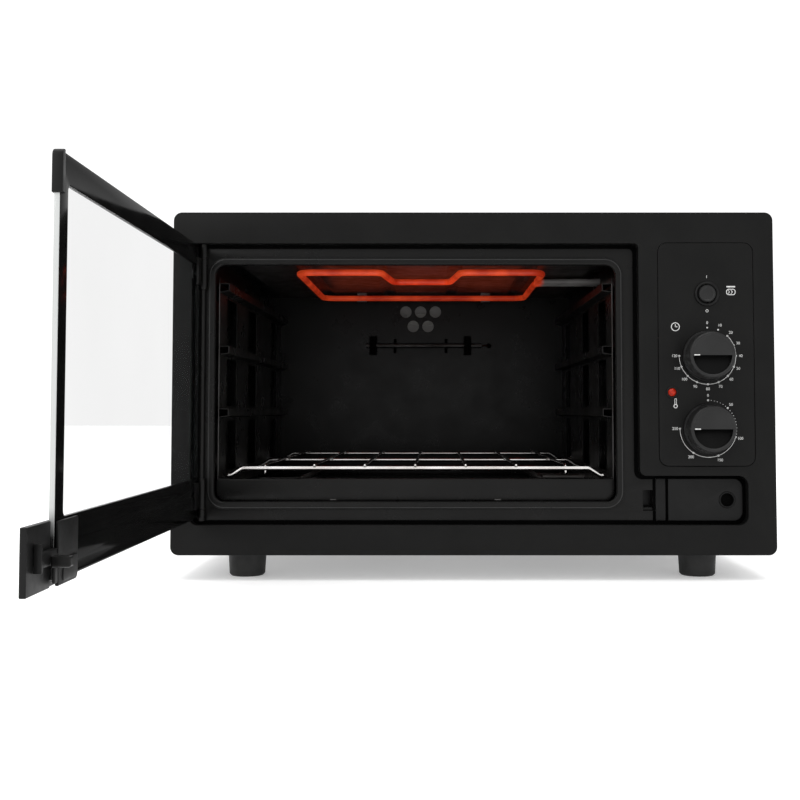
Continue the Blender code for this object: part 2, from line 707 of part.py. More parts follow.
def element_route(z, jog):
    """Both ends come out of the right wall; the front run may step back in its middle."""
    middle = ELEMENT_X
    left, right = middle - ELEMENT_HALF, middle + ELEMENT_HALF
    end = CAVITY_X + CAVITY_HALF + 0.0095
    corner = ELEMENT_CORNER
    small = 0.007
    route = [(end, LEAD_DEPTHS[1]), (right, LEAD_DEPTHS[1], small), (right, ELEMENT_BACK, corner),
             (left, ELEMENT_BACK, corner), (left, ELEMENT_FRONT, corner)]
    if jog:
        step = ELEMENT_FRONT + ELEMENT_JOG
        route += [(middle - 0.042, ELEMENT_FRONT, 0.010), (middle - 0.032, step, 0.010),
                  (middle + 0.032, step, 0.010), (middle + 0.042, ELEMENT_FRONT, 0.010)]
    route += [(right, ELEMENT_FRONT, corner), (right, LEAD_DEPTHS[0], small), (end, LEAD_DEPTHS[0])]
    return level_path(route, z)


def make_elements():
    for name, z, jog in (("upper_element", UPPER_ELEMENT_Z, True), ("lower_element", LOWER_ELEMENT_Z, False)):
        wire(name, element_route(z, jog), ELEMENT_RADIUS, "element")
        x = (CAVITY_X + CAVITY_HALF + LINER_SHEET + GAP, CAVITY_X + CAVITY_HALF + 0.0088)
        bush = block(name + "_bush", x, (LEAD_DEPTHS[0] - 0.009, LEAD_DEPTHS[1] + 0.009),
                     (z - 0.0065, z + 0.0065), "ceramic")
        for i, depth in enumerate(LEAD_DEPTHS):
            cut(bush, rod(f"{name}_bush_hole_{i}", at(x[0] - 0.01, depth, z), at(x[1] + 0.01, depth, z),
                          ELEMENT_RADIUS + GAP, None, 12))


def make_element_clips():
    """Hooks under the ceiling that carry the upper tube, and a strip that carries the lower one."""
    top = REFLECTOR_Z - GAP
    low = UPPER_ELEMENT_Z - ELEMENT_RADIUS - GAP - 0.001
    behind = ELEMENT_BACK + ELEMENT_RADIUS + GAP
    for side, x in (("left", ELEMENT_X - 0.62 * ELEMENT_HALF), ("right", ELEMENT_X + 0.62 * ELEMENT_HALF)):
        hook = block(f"element_hook_{side}", (x - 0.006, x + 0.006), (behind, behind + 0.001), (low, top),
                     "dark_steel")
        lip = block(f"hook_lip_{side}", (x - 0.006, x + 0.006), (ELEMENT_BACK - 0.005, behind + 0.001),
                    (low, low + 0.001))
        fuse(hook, lip)
    wall = CAVITY_X - CAVITY_HALF + GAP
    rest = LOWER_ELEMENT_Z - ELEMENT_RADIUS - GAP
    tip = ELEMENT_X - ELEMENT_HALF + 0.006
    strip = block("lower_element_rest", (wall, tip), REST_DEPTH, (rest - 0.001, rest), "dark_steel")
    fuse(strip, block("rest_foot", (wall, wall + 0.001), REST_DEPTH, (rest - 0.001, rest + 0.012)))


def make_sensor():
    """The thermostat's bulb across the back wall, its capillary, and the two clips that hold it."""
    depth = LINER_BACK - 0.0085
    rod("thermostat_bulb", at(SENSOR_X[0], depth, SENSOR_Z), at(SENSOR_X[1], depth, SENSOR_Z), BULB_RADIUS,
        "dark_steel", 12)
    for side, x in zip(("left", "right"), CLIP_X):
        clip = block(f"bulb_clip_{side}", (x - 0.0048, x + 0.0048), (depth - 0.0046, LINER_BACK - GAP),
                     (SENSOR_Z - 0.0125, SENSOR_Z + 0.0125), "black_enamel")
        hole = rod(f"clip_hole_{side}", at(x - 0.01, depth, SENSOR_Z), at(x + 0.01, depth, SENSOR_Z),
                   BULB_RADIUS + GAP, None, 12)
        cut(clip, hole)
    start = SENSOR_X[1] + GAP
    corner = start + 0.0097
    behind = LINER_BACK + 0.014
    end_x = CONTROL_X + 0.012
    route = [at(start, depth, SENSOR_Z), at(corner - 0.003, depth, SENSOR_Z),
             at(corner, depth + 0.003, SENSOR_Z), at(corner, behind - 0.003, SENSOR_Z),
             at(corner + 0.003, behind, SENSOR_Z),
             at(end_x - 0.004, behind, SENSOR_Z), at(end_x, behind - 0.004, SENSOR_Z),
             at(end_x, 0.110, SENSOR_Z), at(end_x, 0.100, SENSOR_Z - 0.010),
             at(end_x, 0.100, THERMOSTAT_Z + 0.010), at(end_x, 0.090, THERMOSTAT_Z),
             at(end_x, 0.0403, THERMOSTAT_Z)]
    wire("thermostat_capillary", route, 0.0010, "copper", 1)


def make_lamp():
    """The lamp behind the round holes: a sheet housing open towards them, with its socket, and the bulb."""
    front = LINER_BACK + LINER_SHEET + GAP
    x = (LAMP_X - 0.034, LAMP_X + 0.034)
    z = (LAMP_Z - 0.025, LAMP_Z + 0.025)
    housing = block("lamp_housing", x, (front, front + 0.026), z, "dark_steel")
    inside = block("lamp_space", (x[0] + LINER_SHEET, x[1] - LINER_SHEET),
                   (front - 0.01, front + 0.026 - LINER_SHEET),
                   (z[0] + LINER_SHEET, z[1] - LINER_SHEET))
    cut(housing, inside)
    middle = at(x[0] + LINER_SHEET + GAP, front + 0.013, LAMP_Z)
    fuse(housing, rod("lamp_socket", middle - Vector((0.0006, 0, 0)), middle + Vector((0.014, 0, 0)), 0.008,
                      None, 16))
    bulb = turned("oven_lamp", [(0, 0.040), (0.005, 0.038), (0.0085, 0.030), (0.0085, 0.018), (0.006, 0.006),
                                (0.006, 0), (0, 0)], middle + Vector((0.0143, 0, 0)), "glass", 16)
    bulb.rotation_euler = (0, math.radians(90), 0)


# Shelf and tray

def make_shelf():
    """Cross wires with dropped ends that ride on the ledges, under seven long bars."""
    rail = SHELF_RAIL
    level = rail + SHELF_DROP
    half = LINER_HALF - 0.0065
    flat_half = half - 0.016
    end = half - 0.005
    depths = (SHELF_FRONT, SHELF_FRONT + 0.48 * (SHELF_BACK - SHELF_FRONT), SHELF_BACK)
    shelf = None
    for i, depth in enumerate(depths):
        route = [at(CAVITY_X - half, depth, rail), at(CAVITY_X - end, depth, rail),
                 at(CAVITY_X - flat_half, depth, level), at(CAVITY_X + flat_half, depth, level),
                 at(CAVITY_X + end, depth, rail), at(CAVITY_X + half, depth, rail)]
        cross = wire("wire_shelf" if i == 0 else f"shelf_cross_{i}", route, SHELF_WIRE,
                     "chrome" if i == 0 else None)
        shelf = shelf or cross
        if i:
            fuse(shelf, cross)
    top = level + SHELF_WIRE + SHELF_BAR - 0.0008
    back = CAVITY_DEPTH
    for i in range(SHELF_BARS):
        x = CAVITY_X - 0.0005 + (i - (SHELF_BARS - 1) / 2) * SHELF_PITCH
        route = [at(x, SHELF_FRONT - 0.0035, top), at(x, back, top)]
        if i in (0, SHELF_BARS - 1):
            bend = SHELF_FRONT + 0.0065
            route = [at(x, bend, top - 0.010), at(x, bend, top - 0.002), at(x, bend + 0.002, top),
                     at(x, back, top)]
        fuse(shelf, wire(f"shelf_bar_{i}", route, SHELF_BAR))
    return shelf


def make_tray():
    """The crumb tray: a shallow pan whose tall front closes the bottom of the opening."""
    low = TRAY_BOTTOM
    front = TRAY_FRONT
    x = (CAVITY_X - TRAY_HALF, CAVITY_X + TRAY_HALF)
    outline = rounded([(x[0], low, 0.0085), (x[1], low, 0.0085), (x[1], TRAY_TOP, 0.001),
                       (x[0], TRAY_TOP, 0.001)])
    tray = panel("crumb_tray", [outline], (front, front + 0.0012), "black_enamel")
    inset = 0.006
    pan = block("tray_pan", (x[0] + inset, x[1] - inset), (front + 0.0006, front + TRAY_LENGTH),
                (low, low + 0.0072))
    inset += TRAY_SHEET
    hollow = block("tray_hollow", (x[0] + inset, x[1] - inset),
                   (front + 0.0012, front + TRAY_LENGTH - TRAY_SHEET),
                   (low + TRAY_SHEET, low + 0.05))
    return cut(fuse(tray, pan), hollow)


# Controls

def make_control_panel():
    return panel("control_panel", [panel_outline(), *control_holes()], (0, PANEL_SHEET), "black_paint")


def make_knob(name, z):
    """A round knob with a sloping half-moon finger recess, turned fully up at rest."""
    top = KNOB_HEIGHT
    face = KNOB_RADIUS - 0.0022
    profile = [(0, top - 0.0006), (face - 0.0030, top - 0.0006), (face - 0.0022, top), (face - 0.0008, top),
               (face, top - 0.0010), (KNOB_RADIUS - 0.0012, 0.006), (KNOB_RADIUS, 0.0045),
               (KNOB_RADIUS, 0.0009), (0, 0.0009)]
    knob = turned(name, profile, at(CONTROL_X, 0, z), "black_plastic", 32, "front")
    moon = turned(name + "_moon", [(0, top + 0.01), (face - 0.0032, top + 0.01), (face - 0.0032, 0.008),
                                   (0, 0.008)],
                  at(CONTROL_X, 0, z), None, 32, "front")
    slope = box(name + "_slope", (-0.03, -0.015, -0.03), (0.03, 0.015, 0.03))
    tilt = Matrix.Rotation(-math.atan2(KNOB_RECESS, face - 0.0022), 4, "X")
    slope.location = at(CONTROL_X, -top, z - face + 0.0022) + tilt @ Vector((0, -0.015, 0))
    slope.rotation_euler = tilt.to_euler()
    above = block(name + "_above", (CONTROL_X - 0.04, CONTROL_X + 0.04), (-0.1, 0.05), (z, z + 0.08))
    cut(moon, above)
    combine(moon, "INTERSECT", slope)
    bore = rod(name + "_bore", at(CONTROL_X, 0.01, z), at(CONTROL_X, -0.0115, z), SHAFT_RADIUS + GAP, None,
               16)
    return cut(knob, moon, bore)


def make_clockwork(name, z, size, depth):
    """A timer or thermostat body behind the fascia, with the shaft that carries its knob."""
    front = 0.0023
    half_x, half_z = size[0] / 2, size[1] / 2
    body = block(name, (CONTROL_X - half_x, CONTROL_X + half_x), (front, front + depth),
                 (z - half_z, z + half_z), "zinc_steel")
    shaft = rod(name + "_shaft", at(CONTROL_X, front + 0.004, z), at(CONTROL_X, -0.0110, z), SHAFT_RADIUS,
                None, 16)
    return fuse(body, shaft)


def make_power_button():
    """The push button, the ring it slides in and the switch that its stem enters."""
    head = BUTTON_RADIUS
    turned("power_button", [(0, 0.0036), (head - 0.0025, 0.0034), (head - 0.0006, 0.0026), (head, 0.0016),
                            (head, -0.006), (0.0035, -0.006), (0.0035, -0.018), (0, -0.018)],
           at(CONTROL_X, 0, BUTTON_Z), "black_plastic", 28, "front")
    bore = head + 0.0005
    body, ring = head + 0.0020, head + 0.0036
    turned("button_bezel", [(bore, 0.0012), (body, 0.0022), (ring - 0.0004, 0.0016), (ring, GAP), (body, GAP),
                            (body, -0.008), (bore, -0.008)],
           at(CONTROL_X, 0, BUTTON_Z), "black_plastic", 28, "front")
    start = 0.006 + BUTTON_TRAVEL + 0.001
    switch = block("power_switch", (CONTROL_X - 0.011, CONTROL_X + 0.011), (start, start + 0.026),
                   (BUTTON_Z - 0.013, BUTTON_Z + 0.013), "black_plastic")
    cut(switch, rod("stem_bore", at(CONTROL_X, start - 0.01, BUTTON_Z),
                    at(CONTROL_X, start + 0.0130, BUTTON_Z), 0.0039, None, 16))


def make_pilot():
    """The red pilot lamp: lens, ring and the neon lamp holder behind."""
    turned("pilot_lens", [(0, 0.0022), (0.0022, 0.0018), (0.0038, 0.0004), (0.0040, -0.004), (0, -0.004)],
           at(PILOT_X, 0, PILOT_Z), "red_lens", 20, "front")
    turned("pilot_bezel", [(0.0043, 0.0009), (0.0052, 0.0010), (0.0060, GAP), (0.0049, GAP), (0.0049, -0.010),
                           (0.0043, -0.010)], at(PILOT_X, 0, PILOT_Z), "black_plastic", 20, "front")
    rod("pilot_lamp", at(PILOT_X, 0.0045, PILOT_Z), at(PILOT_X, 0.030, PILOT_Z), 0.0036, "ceramic", 12)


# Catch

def make_catch():
    """The sprung roller that holds the door shut, in its housing behind the frame."""
    inner = SLOT_HALF
    outer = inner + CATCH_SHEET
    z = (SLOT_Z[0] - 0.0070, SLOT_Z[1])
    back = FRAME_BACK + 0.0163
    housing = block("catch_housing", (CATCH_X - outer, CATCH_X + outer), (FRAME_BACK + GAP, back),
                    (z[0] - 0.0030, z[1] + 0.0030), "dark_steel")
    cut(housing, block("catch_space", (CATCH_X - inner, CATCH_X + inner), (0, back - 0.0015), z))
    half = inner - 0.0005
    rod("catch_roller", at(CATCH_X - half, CATCH_DEPTH, CATCH_ROLLER_Z),
        at(CATCH_X + half, CATCH_DEPTH, CATCH_ROLLER_Z),
        CATCH_ROLLER, "dark_steel", 16)
    return housing


# Door: its pieces are placed as if it were shut, under an empty that turns it open about the hinge

DOOR = bpy.data.objects.new("door_axis", None)
OVEN.objects.link(DOOR)
DOOR.location = at(HINGE_X, HINGE_DEPTH, 0)
DOOR.rotation_euler = (0, 0, math.radians(-DOOR_OPEN))


def door_point(x, depth, z):
    """A point of the shut door, measured from the hinge axis."""
    return Vector((x - HINGE_X, depth - HINGE_DEPTH, z))


def door_box(name, x, depth, z, finish=None):
    return box(name, door_point(x[0], depth[0], z[0]), door_point(x[1], depth[1], z[1]), finish, DOOR)


def door_sheet(name, outlines, depth, finish=None):
    middle = door_point(0, (depth[0] + depth[1]) / 2, 0)
    return flat(name, outlines, depth[1] - depth[0], middle, (math.radians(90), 0, 0), finish, DOOR)


def door_rod(name, x, depth, z, radius, finish=None, sides=16):
    return rod(name, door_point(x, depth[0], z), door_point(x, depth[1], z), radius, finish, sides, DOOR)


def make_door_glass():
    outline = rounded(rectangle((GLASS_LEFT, GLASS_RIGHT), (GLASS_BOTTOM, GLASS_TOP), GLASS_CORNER))
    holes = [circle(HINGE_SCREW_X, z, 0.0036, 16) for z in HINGE_SCREWS]
    holes += [circle(HANDLE_SCREW_X, z, 0.0030, 16) for z in HANDLE_SCREWS]
    return door_sheet("door_glass", [outline, *holes], (0, GLASS_THICKNESS), "glass")


def barrel(name, low, high, finish, parent, place, round_low, round_high):
    """A hinge barrel with a bore for the rod; a free end is rounded like a bullet."""
    bore = HINGE_ROD_RADIUS + GAP
    radius = KNUCKLE_RADIUS
    steps = [math.radians(t) for t in (0, 30, 60)]
    nose = [(bore + (radius - bore) * math.sin(t), (radius - bore) * (1 - math.cos(t))) for t in steps]
    over = [(r, high - d * 2) for r, d in nose] if round_high else [(bore, high)]
    under = [(r, low + d * 2) for r, d in reversed(nose)] if round_low else [(bore, low)]
    nose_length = (radius - bore) * 2
    profile = [*over, (radius, high - (nose_length if round_high else 0)),
               (radius, low + (nose_length if round_low else 0)), *under]
    return turned(name, profile, place, finish, 20, "up", parent)


def make_hinge():
    fixed = {"upper": (DOOR_TOP - 0.0142, DOOR_TOP - 0.0005),
             "lower": (DOOR_BOTTOM + 0.0035, DOOR_BOTTOM + 0.0146)}
    swinging = {"upper": (DOOR_TOP - 0.0447, fixed["upper"][0] - GAP),
                "lower": (fixed["lower"][1] + GAP, DOOR_BOTTOM + 0.0443)}
    for end, (low, high) in fixed.items():
        knuckle = barrel(f"hinge_bracket_{end}", low, high, "black_enamel", None,
                         at(HINGE_X, HINGE_DEPTH, 0), 0, 0)
        leaf = block(f"bracket_leaf_{end}", (HINGE_X - KNUCKLE_RADIUS + 0.0002,
                                             HINGE_X + KNUCKLE_RADIUS - 0.0002),
                     (HINGE_DEPTH + 0.0024, FRAME_FRONT - GAP), (low + 0.0008, min(high, DOOR_TOP - 0.0045)))
        fuse(knuckle, leaf)
    rod("hinge_rod", at(HINGE_X, HINGE_DEPTH, fixed["lower"][0] + GAP),
        at(HINGE_X, HINGE_DEPTH, fixed["upper"][1] - GAP), HINGE_ROD_RADIUS, "dark_steel", 12)
    for end, (low, high) in swinging.items():
        knuckle = barrel(f"door_knuckle_{end}", low, high, "black_enamel", DOOR, Vector((0, 0, 0)),
                         end == "upper", end == "lower")
        z = (low + 0.004, high) if end == "upper" else (low, high - 0.004)
        leaf = door_box(f"knuckle_leaf_{end}", (HINGE_X + 0.0026, HINGE_X + 0.0165),
                        (INNER_FACE, INNER_FACE + 0.0018), z)
        fuse(knuckle, leaf)
        screw_z = HINGE_SCREWS[0] if end == "upper" else HINGE_SCREWS[1]
        cut(knuckle, door_rod(f"leaf_hole_{end}", HINGE_SCREW_X, (0, 0.02), screw_z, 0.0028))
        door_screw(f"hinge_screw_{end}", HINGE_SCREW_X, screw_z, 0.0068, 0.0025, GLASS_THICKNESS + 0.0020)


def door_screw(name, x, z, head, shank, length):
    """A domed screw through the glass, its head on the outer face."""
    profile = [(0, 0.0020), (head * 0.6, 0.0017), (head, 0.0006), (head, GAP), (shank, GAP),
               (shank, -length), (0, -length)]
    return turned(name, profile, door_point(x, 0, z), "black_plastic", 20, "front", DOOR)


def make_handle():
    """The grip past the door's free edge, and the clamp that holds it from inside with its T-shaped arm."""
    z = (GRIP_Z - GRIP_HEIGHT / 2, GRIP_Z + GRIP_HEIGHT / 2)
    left = GRIP_LEFT
    right = GLASS_RIGHT + GRIP_REACH
    step = GLASS_RIGHT + 0.0006
    outer = -0.0028
    inner = 0.0016
    nose = 0.0012
    plan = rounded([(left, outer, 0), (right - nose, outer, 0), (right, outer + nose, 0), (right, inner, 0),
                    (step, inner, 0), (step, -GAP, 0), (left, -GAP, 0)])
    plan = [Vector((point.x - HINGE_X, point.y - HINGE_DEPTH)) for point in plan]
    grip = flat("handle_grip", [plan], GRIP_HEIGHT, Vector((0, 0, GRIP_Z)), (0, 0, 0), "black_plastic", DOOR)
    face = INNER_FACE + CLAMP_SHEET
    clamp = door_box("handle_clamp", (left, GLASS_RIGHT - 0.0015), (INNER_FACE, face),
                     (z[0] + 0.0008, z[1] - 0.0002), "black_plastic")
    fuse(clamp, door_box("clamp_boss", (left + 0.004, GLASS_RIGHT - 0.0075), (face - 0.0012, face + 0.0008),
                         (z[0] + 0.0028, GRIP_Z - 0.003)))
    fuse(clamp, door_box("clamp_arm", (step + GAP, GLASS_RIGHT + 0.0305), (inner + GAP, face),
                         (GRIP_Z - 0.0049, GRIP_Z + 0.0041)))
    fuse(clamp, door_box("clamp_fin", (GLASS_RIGHT + 0.0285, GLASS_RIGHT + 0.0309),
                         (inner + GAP, face + 0.0008), (GRIP_Z - 0.0075, GRIP_Z + 0.0095)))
    fuse(clamp, door_box("clamp_edge", (GLASS_RIGHT - 0.0025, step + 0.0032), (INNER_FACE, face - GAP),
                         (z[0] + 0.0028, GRIP_Z + 0.001)))
    for end, screw_z in zip(("lower", "upper"), HANDLE_SCREWS):
        cut(grip, door_rod(f"grip_hole_{end}", HANDLE_SCREW_X, (-0.0018, 0.01), screw_z, 0.0023))
        cut(clamp, door_rod(f"clamp_hole_{end}", HANDLE_SCREW_X, (0, INNER_FACE + 0.0010), screw_z, 0.0023))
        door_rod(f"handle_screw_{end}", HANDLE_SCREW_X, (-0.0015, INNER_FACE + 0.0007), screw_z, 0.0020,
                 "zinc_steel", 12)
    half = SLOT_HALF - 0.0015
    tongue = door_box("latch_tongue", (CATCH_X - half, CATCH_X + half), (face + GAP, CATCH_DEPTH + 0.0012),
                      (CATCH_ROLLER_Z + CATCH_ROLLER + 0.0004, CATCH_ROLLER_Z + CATCH_ROLLER + 0.0070),
                      "dark_steel")
    bevel(tongue, 0.0012, 2)


def make_door_cap():
    """The corner cap at the top of the glass's free edge, which the door closes on."""
    corner = GLASS_CORNER + 0.0005
    x = (GLASS_RIGHT - CAP_OVERLAP, GLASS_RIGHT + 0.0015)
    z = (GLASS_TOP + 0.0006 - CAP_HEIGHT, GLASS_TOP + 0.0006)
    outline = rounded([(x[0], z[0], 0), (x[1], z[0], 0), (x[1], z[1], corner), (x[0], z[1], 0)])
    cap = door_sheet("door_corner_cap", [outline], (-0.0012, INNER_FACE + 0.0019), "black_plastic")
    edge, top = GLASS_RIGHT + GAP, GLASS_TOP + GAP
    inside = rounded([(x[0] - 0.01, z[0] - 0.01, 0), (edge, z[0] - 0.01, 0),
                      (edge, top, GLASS_CORNER - 0.0003),
                      (x[0] - 0.01, top, 0)])
    return cut(cap, door_sheet("cap_pocket", [inside], (-GAP, INNER_FACE)))


make_fascia()
make_front_frame()
make_rim()
make_well()
make_cover()
make_base()
make_feet()
make_rear_cover()
make_cord_gland()
make_partition()
make_cavity_liner()
make_side_liner("left", -1)
make_side_liner("right", 1)
make_reflector()
make_elements()
make_element_clips()
make_sensor()
make_lamp()
make_shelf()
make_tray()
make_control_panel()
make_knob("timer_knob", TIMER_Z)
make_knob("temperature_knob", THERMOSTAT_Z)
make_clockwork("timer_unit", TIMER_Z, (0.046, 0.046), 0.042)
make_clockwork("thermostat_unit", THERMOSTAT_Z, (0.040, 0.034), 0.036)
make_power_button()
make_pilot()
make_catch()
make_door_glass()
make_hinge()
make_handle()
make_door_cap()
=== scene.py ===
import json
import math

import bmesh
import bpy
from mathutils import Matrix, Vector


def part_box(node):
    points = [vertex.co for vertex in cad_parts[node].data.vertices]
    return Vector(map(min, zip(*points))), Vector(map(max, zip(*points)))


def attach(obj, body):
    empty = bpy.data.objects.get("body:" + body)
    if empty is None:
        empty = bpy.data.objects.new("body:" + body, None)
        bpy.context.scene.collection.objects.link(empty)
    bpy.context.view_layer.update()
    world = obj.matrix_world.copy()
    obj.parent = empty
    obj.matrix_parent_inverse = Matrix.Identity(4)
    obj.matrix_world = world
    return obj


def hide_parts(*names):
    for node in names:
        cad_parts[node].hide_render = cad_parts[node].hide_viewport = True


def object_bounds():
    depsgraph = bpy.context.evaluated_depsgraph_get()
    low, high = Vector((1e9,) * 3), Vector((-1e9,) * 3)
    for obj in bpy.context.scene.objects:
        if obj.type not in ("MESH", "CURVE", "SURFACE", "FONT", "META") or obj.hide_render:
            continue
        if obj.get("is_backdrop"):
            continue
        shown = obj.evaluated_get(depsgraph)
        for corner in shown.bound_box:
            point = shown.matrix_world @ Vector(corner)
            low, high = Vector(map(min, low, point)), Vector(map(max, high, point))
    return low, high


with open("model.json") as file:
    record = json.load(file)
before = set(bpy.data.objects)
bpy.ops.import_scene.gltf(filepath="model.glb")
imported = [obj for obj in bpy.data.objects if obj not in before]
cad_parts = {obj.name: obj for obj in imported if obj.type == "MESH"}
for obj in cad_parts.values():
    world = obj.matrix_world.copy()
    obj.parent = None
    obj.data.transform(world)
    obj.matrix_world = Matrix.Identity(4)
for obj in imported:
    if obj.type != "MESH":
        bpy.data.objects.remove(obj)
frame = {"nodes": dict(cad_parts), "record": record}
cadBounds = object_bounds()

print("frame loaded:", len(frame["nodes"]), "nodes")


def spanOf(node):
    low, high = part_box(node)
    return Vector(low), Vector(high)


fasciaLow, fasciaHigh = spanOf("front_fascia")
frontY = fasciaLow.y
joints = {joint["name"]: joint for joint in frame["record"]["behaviour"]["joints"]}
hingeSpot = Vector(joints["door_hinge"]["pos_m"])
# the door is drawn shut and then swung open about its hinge, as the frame stands at rest
openTurn = Matrix.Rotation(math.radians(-90), 4, "Z")
doorSwing = Matrix.Translation(hingeSpot) @ openTurn @ Matrix.Translation(-hingeSpot)
upright = Matrix.Rotation(math.radians(90), 4, "X")


def behind(depth):
    return frontY + depth


# outlines are lists of (x, z) places across the front, and every length is in metres
def roundCorners(corners, steps=8, closed=True):
    # corners are (x, y, radius); the ends of an open line keep their place
    line = []
    count = len(corners)
    for i, (x, y, radius) in enumerate(corners):
        here = Vector((x, y))
        if radius <= 0 or (not closed and i in (0, count - 1)):
            line.append(here)
            continue
        before = (Vector(corners[i - 1][:2]) - here).normalized()
        after = (Vector(corners[(i + 1) % count][:2]) - here).normalized()
        half = before.angle(after) / 2
        reach = radius / math.tan(half)
        centre = here + (before + after).normalized() * radius / math.sin(half)
        first = here + before * reach - centre
        turn = first.angle_signed(here + after * reach - centre)
        for step in range(steps + 1):
            arm = first.copy()
            arm.rotate(Matrix.Rotation(-turn * step / steps, 2))
            line.append(centre + arm)
    return line


def roundBox(x, z, radius, steps=8):
    corners = [(x[0], z[0], radius), (x[1], z[0], radius), (x[1], z[1], radius), (x[0], z[1], radius)]
    return roundCorners(corners, steps)


def ringLine(x, z, radius, sides=48):
    turns = [2 * math.pi * i / sides for i in range(sides)]
    return [Vector((x + radius * math.cos(turn), z + radius * math.sin(turn))) for turn in turns]


# capRings are the angles, from its tip, of the rings in a tube's round end
meshing = {"weld": 0.000004, "sliver": 0.000002, "onAxis": 0.0000005, "sharpAngle": 35,
           "capRings": (0.35, 0.75, 1.15)}


def shadeRound(mesh):
    mesh.shade_smooth()
    mesh.set_sharp_from_angle(angle=math.radians(meshing["sharpAngle"]))
    return mesh


def tidyMesh(mesh):
    shape = bmesh.new()
    shape.from_mesh(mesh)
    bmesh.ops.remove_doubles(shape, verts=shape.verts, dist=meshing["weld"])
    bmesh.ops.dissolve_degenerate(shape, edges=shape.edges, dist=meshing["sliver"])
    bmesh.ops.recalc_face_normals(shape, faces=shape.faces)
    shape.to_mesh(mesh)
    shape.free()
    return shadeRound(mesh)


def curveToMesh(curve, matrix=None):
    guide = bpy.data.objects.new("guide", curve)
    bpy.context.scene.collection.objects.link(guide)
    bpy.context.view_layer.update()
    mesh = bpy.data.meshes.new_from_object(guide.evaluated_get(bpy.context.evaluated_depsgraph_get()))
    bpy.data.objects.remove(guide, do_unlink=True)
    bpy.data.curves.remove(curve)
    mesh.materials.clear()
    if matrix:
        mesh.transform(matrix)
    return tidyMesh(mesh)


def plateMesh(outlines, thickness, edge, matrix, edgeSteps=2):
    # a flat sheet with holes whose edges are rounded over
    curve = bpy.data.curves.new("plate", "CURVE")
    curve.dimensions = "2D"
    curve.fill_mode = "BOTH"
    curve.extrude = thickness / 2 - edge
    curve.bevel_depth = edge
    curve.bevel_resolution = edgeSteps
    curve.offset = -edge
    for outline in outlines:
        spline = curve.splines.new("POLY")
        spline.points.add(len(outline) - 1)
        for point, corner in zip(spline.points, outline):
            point.co = (corner.x, corner.y, 0, 1)
        spline.use_cyclic_u = True
    return curveToMesh(curve, matrix)


def frontPlate(outlines, depths, edge, edgeSteps=2):
    middle = Matrix.Translation((0, behind(sum(depths) / 2), 0)) @ upright
    return plateMesh(outlines, depths[1] - depths[0], edge, middle, edgeSteps)


def doorPlate(outlines, depths, edge, edgeSteps=2):
    middle = doorSwing @ Matrix.Translation((0, behind(sum(depths) / 2), 0)) @ upright
    return plateMesh(outlines, depths[1] - depths[0], edge, middle, edgeSteps)


def tubeMesh(points, radius, sides=7, closed=False, roundEnds=True):
    # sides is the bevel resolution: 7 gives 18 faces round the tube
    curve = bpy.data.curves.new("tube", "CURVE")
    curve.dimensions = "3D"
    curve.bevel_depth = radius
    curve.bevel_resolution = sides
    curve.use_fill_caps = True
    route = [(Vector(p), 1.0) for p in points]
    if roundEnds and not closed:
        for end in (0, -1):
            tip, near = route[end][0], route[1 if end == 0 else -2][0]
            inward = (near - tip).normalized()
            cap = [(tip + inward * radius * (1 - math.cos(a)), math.sin(a)) for a in meshing["capRings"]]
            body = (tip + inward * radius, 1.0)
            if end == 0:
                route = cap + [body] + route[1:]
            else:
                route = route[:-1] + [body] + cap[::-1]
    spline = curve.splines.new("POLY")
    spline.points.add(len(route) - 1)
    for point, (spot, scale) in zip(spline.points, route):
        point.co = (*spot, 1)
        point.radius = scale
    spline.use_cyclic_u = closed
    return curveToMesh(curve)


def turnedMesh(profile, centre, direction=(0, -1, 0), steps=64, soft=5):
    # profile corners are (radius, height, rounding); one that starts off the axis makes a ring
    closed = profile[0][0] > 0
    line = roundCorners(profile, soft, closed=closed)
    axis = Vector(direction).normalized()
    side = axis.orthogonal().normalized()
    other = axis.cross(side)
    shape = bmesh.new()
    rings = []
    for corner in line:
        base = Vector(centre) + axis * corner.y
        if corner.x < meshing["onAxis"]:
            rings.append([shape.verts.new(base)])
            continue
        rings.append([shape.verts.new(base + (side * math.cos(2 * math.pi * i / steps) +
                                              other * math.sin(2 * math.pi * i / steps)) * corner.x)
                      for i in range(steps)])
    pairs = list(zip(rings, rings[1:]))
    if closed:
        pairs.append((rings[-1], rings[0]))
    for a, b in pairs:
        for i in range(steps):
            j = (i + 1) % steps
            if len(a) == 1 and len(b) == 1:
                continue
            if len(a) == 1:
                shape.faces.new((a[0], b[i], b[j]))
            elif len(b) == 1:
                shape.faces.new((a[i], b[0], a[j]))
            else:
                shape.faces.new((a[i], b[i], b[j], a[j]))
    mesh = bpy.data.meshes.new("turned")
    shape.to_mesh(mesh)
    shape.free()
    return tidyMesh(mesh)


def blockMesh(low, high, edge, edgeSteps=2, matrix=None):
    low, high = Vector(low), Vector(high)
    shape = bmesh.new()
    bmesh.ops.create_cube(shape, size=1)
    bmesh.ops.scale(shape, vec=high - low, verts=shape.verts)
    bmesh.ops.translate(shape, vec=(low + high) / 2, verts=shape.verts)
    if edge:
        bmesh.ops.bevel(shape, geom=shape.edges[:], offset=edge, segments=edgeSteps, profile=0.5,
                        affect="EDGES")
    mesh = bpy.data.meshes.new("block")
    shape.to_mesh(mesh)
    shape.free()
    if matrix:
        mesh.transform(matrix)
    return tidyMesh(mesh)


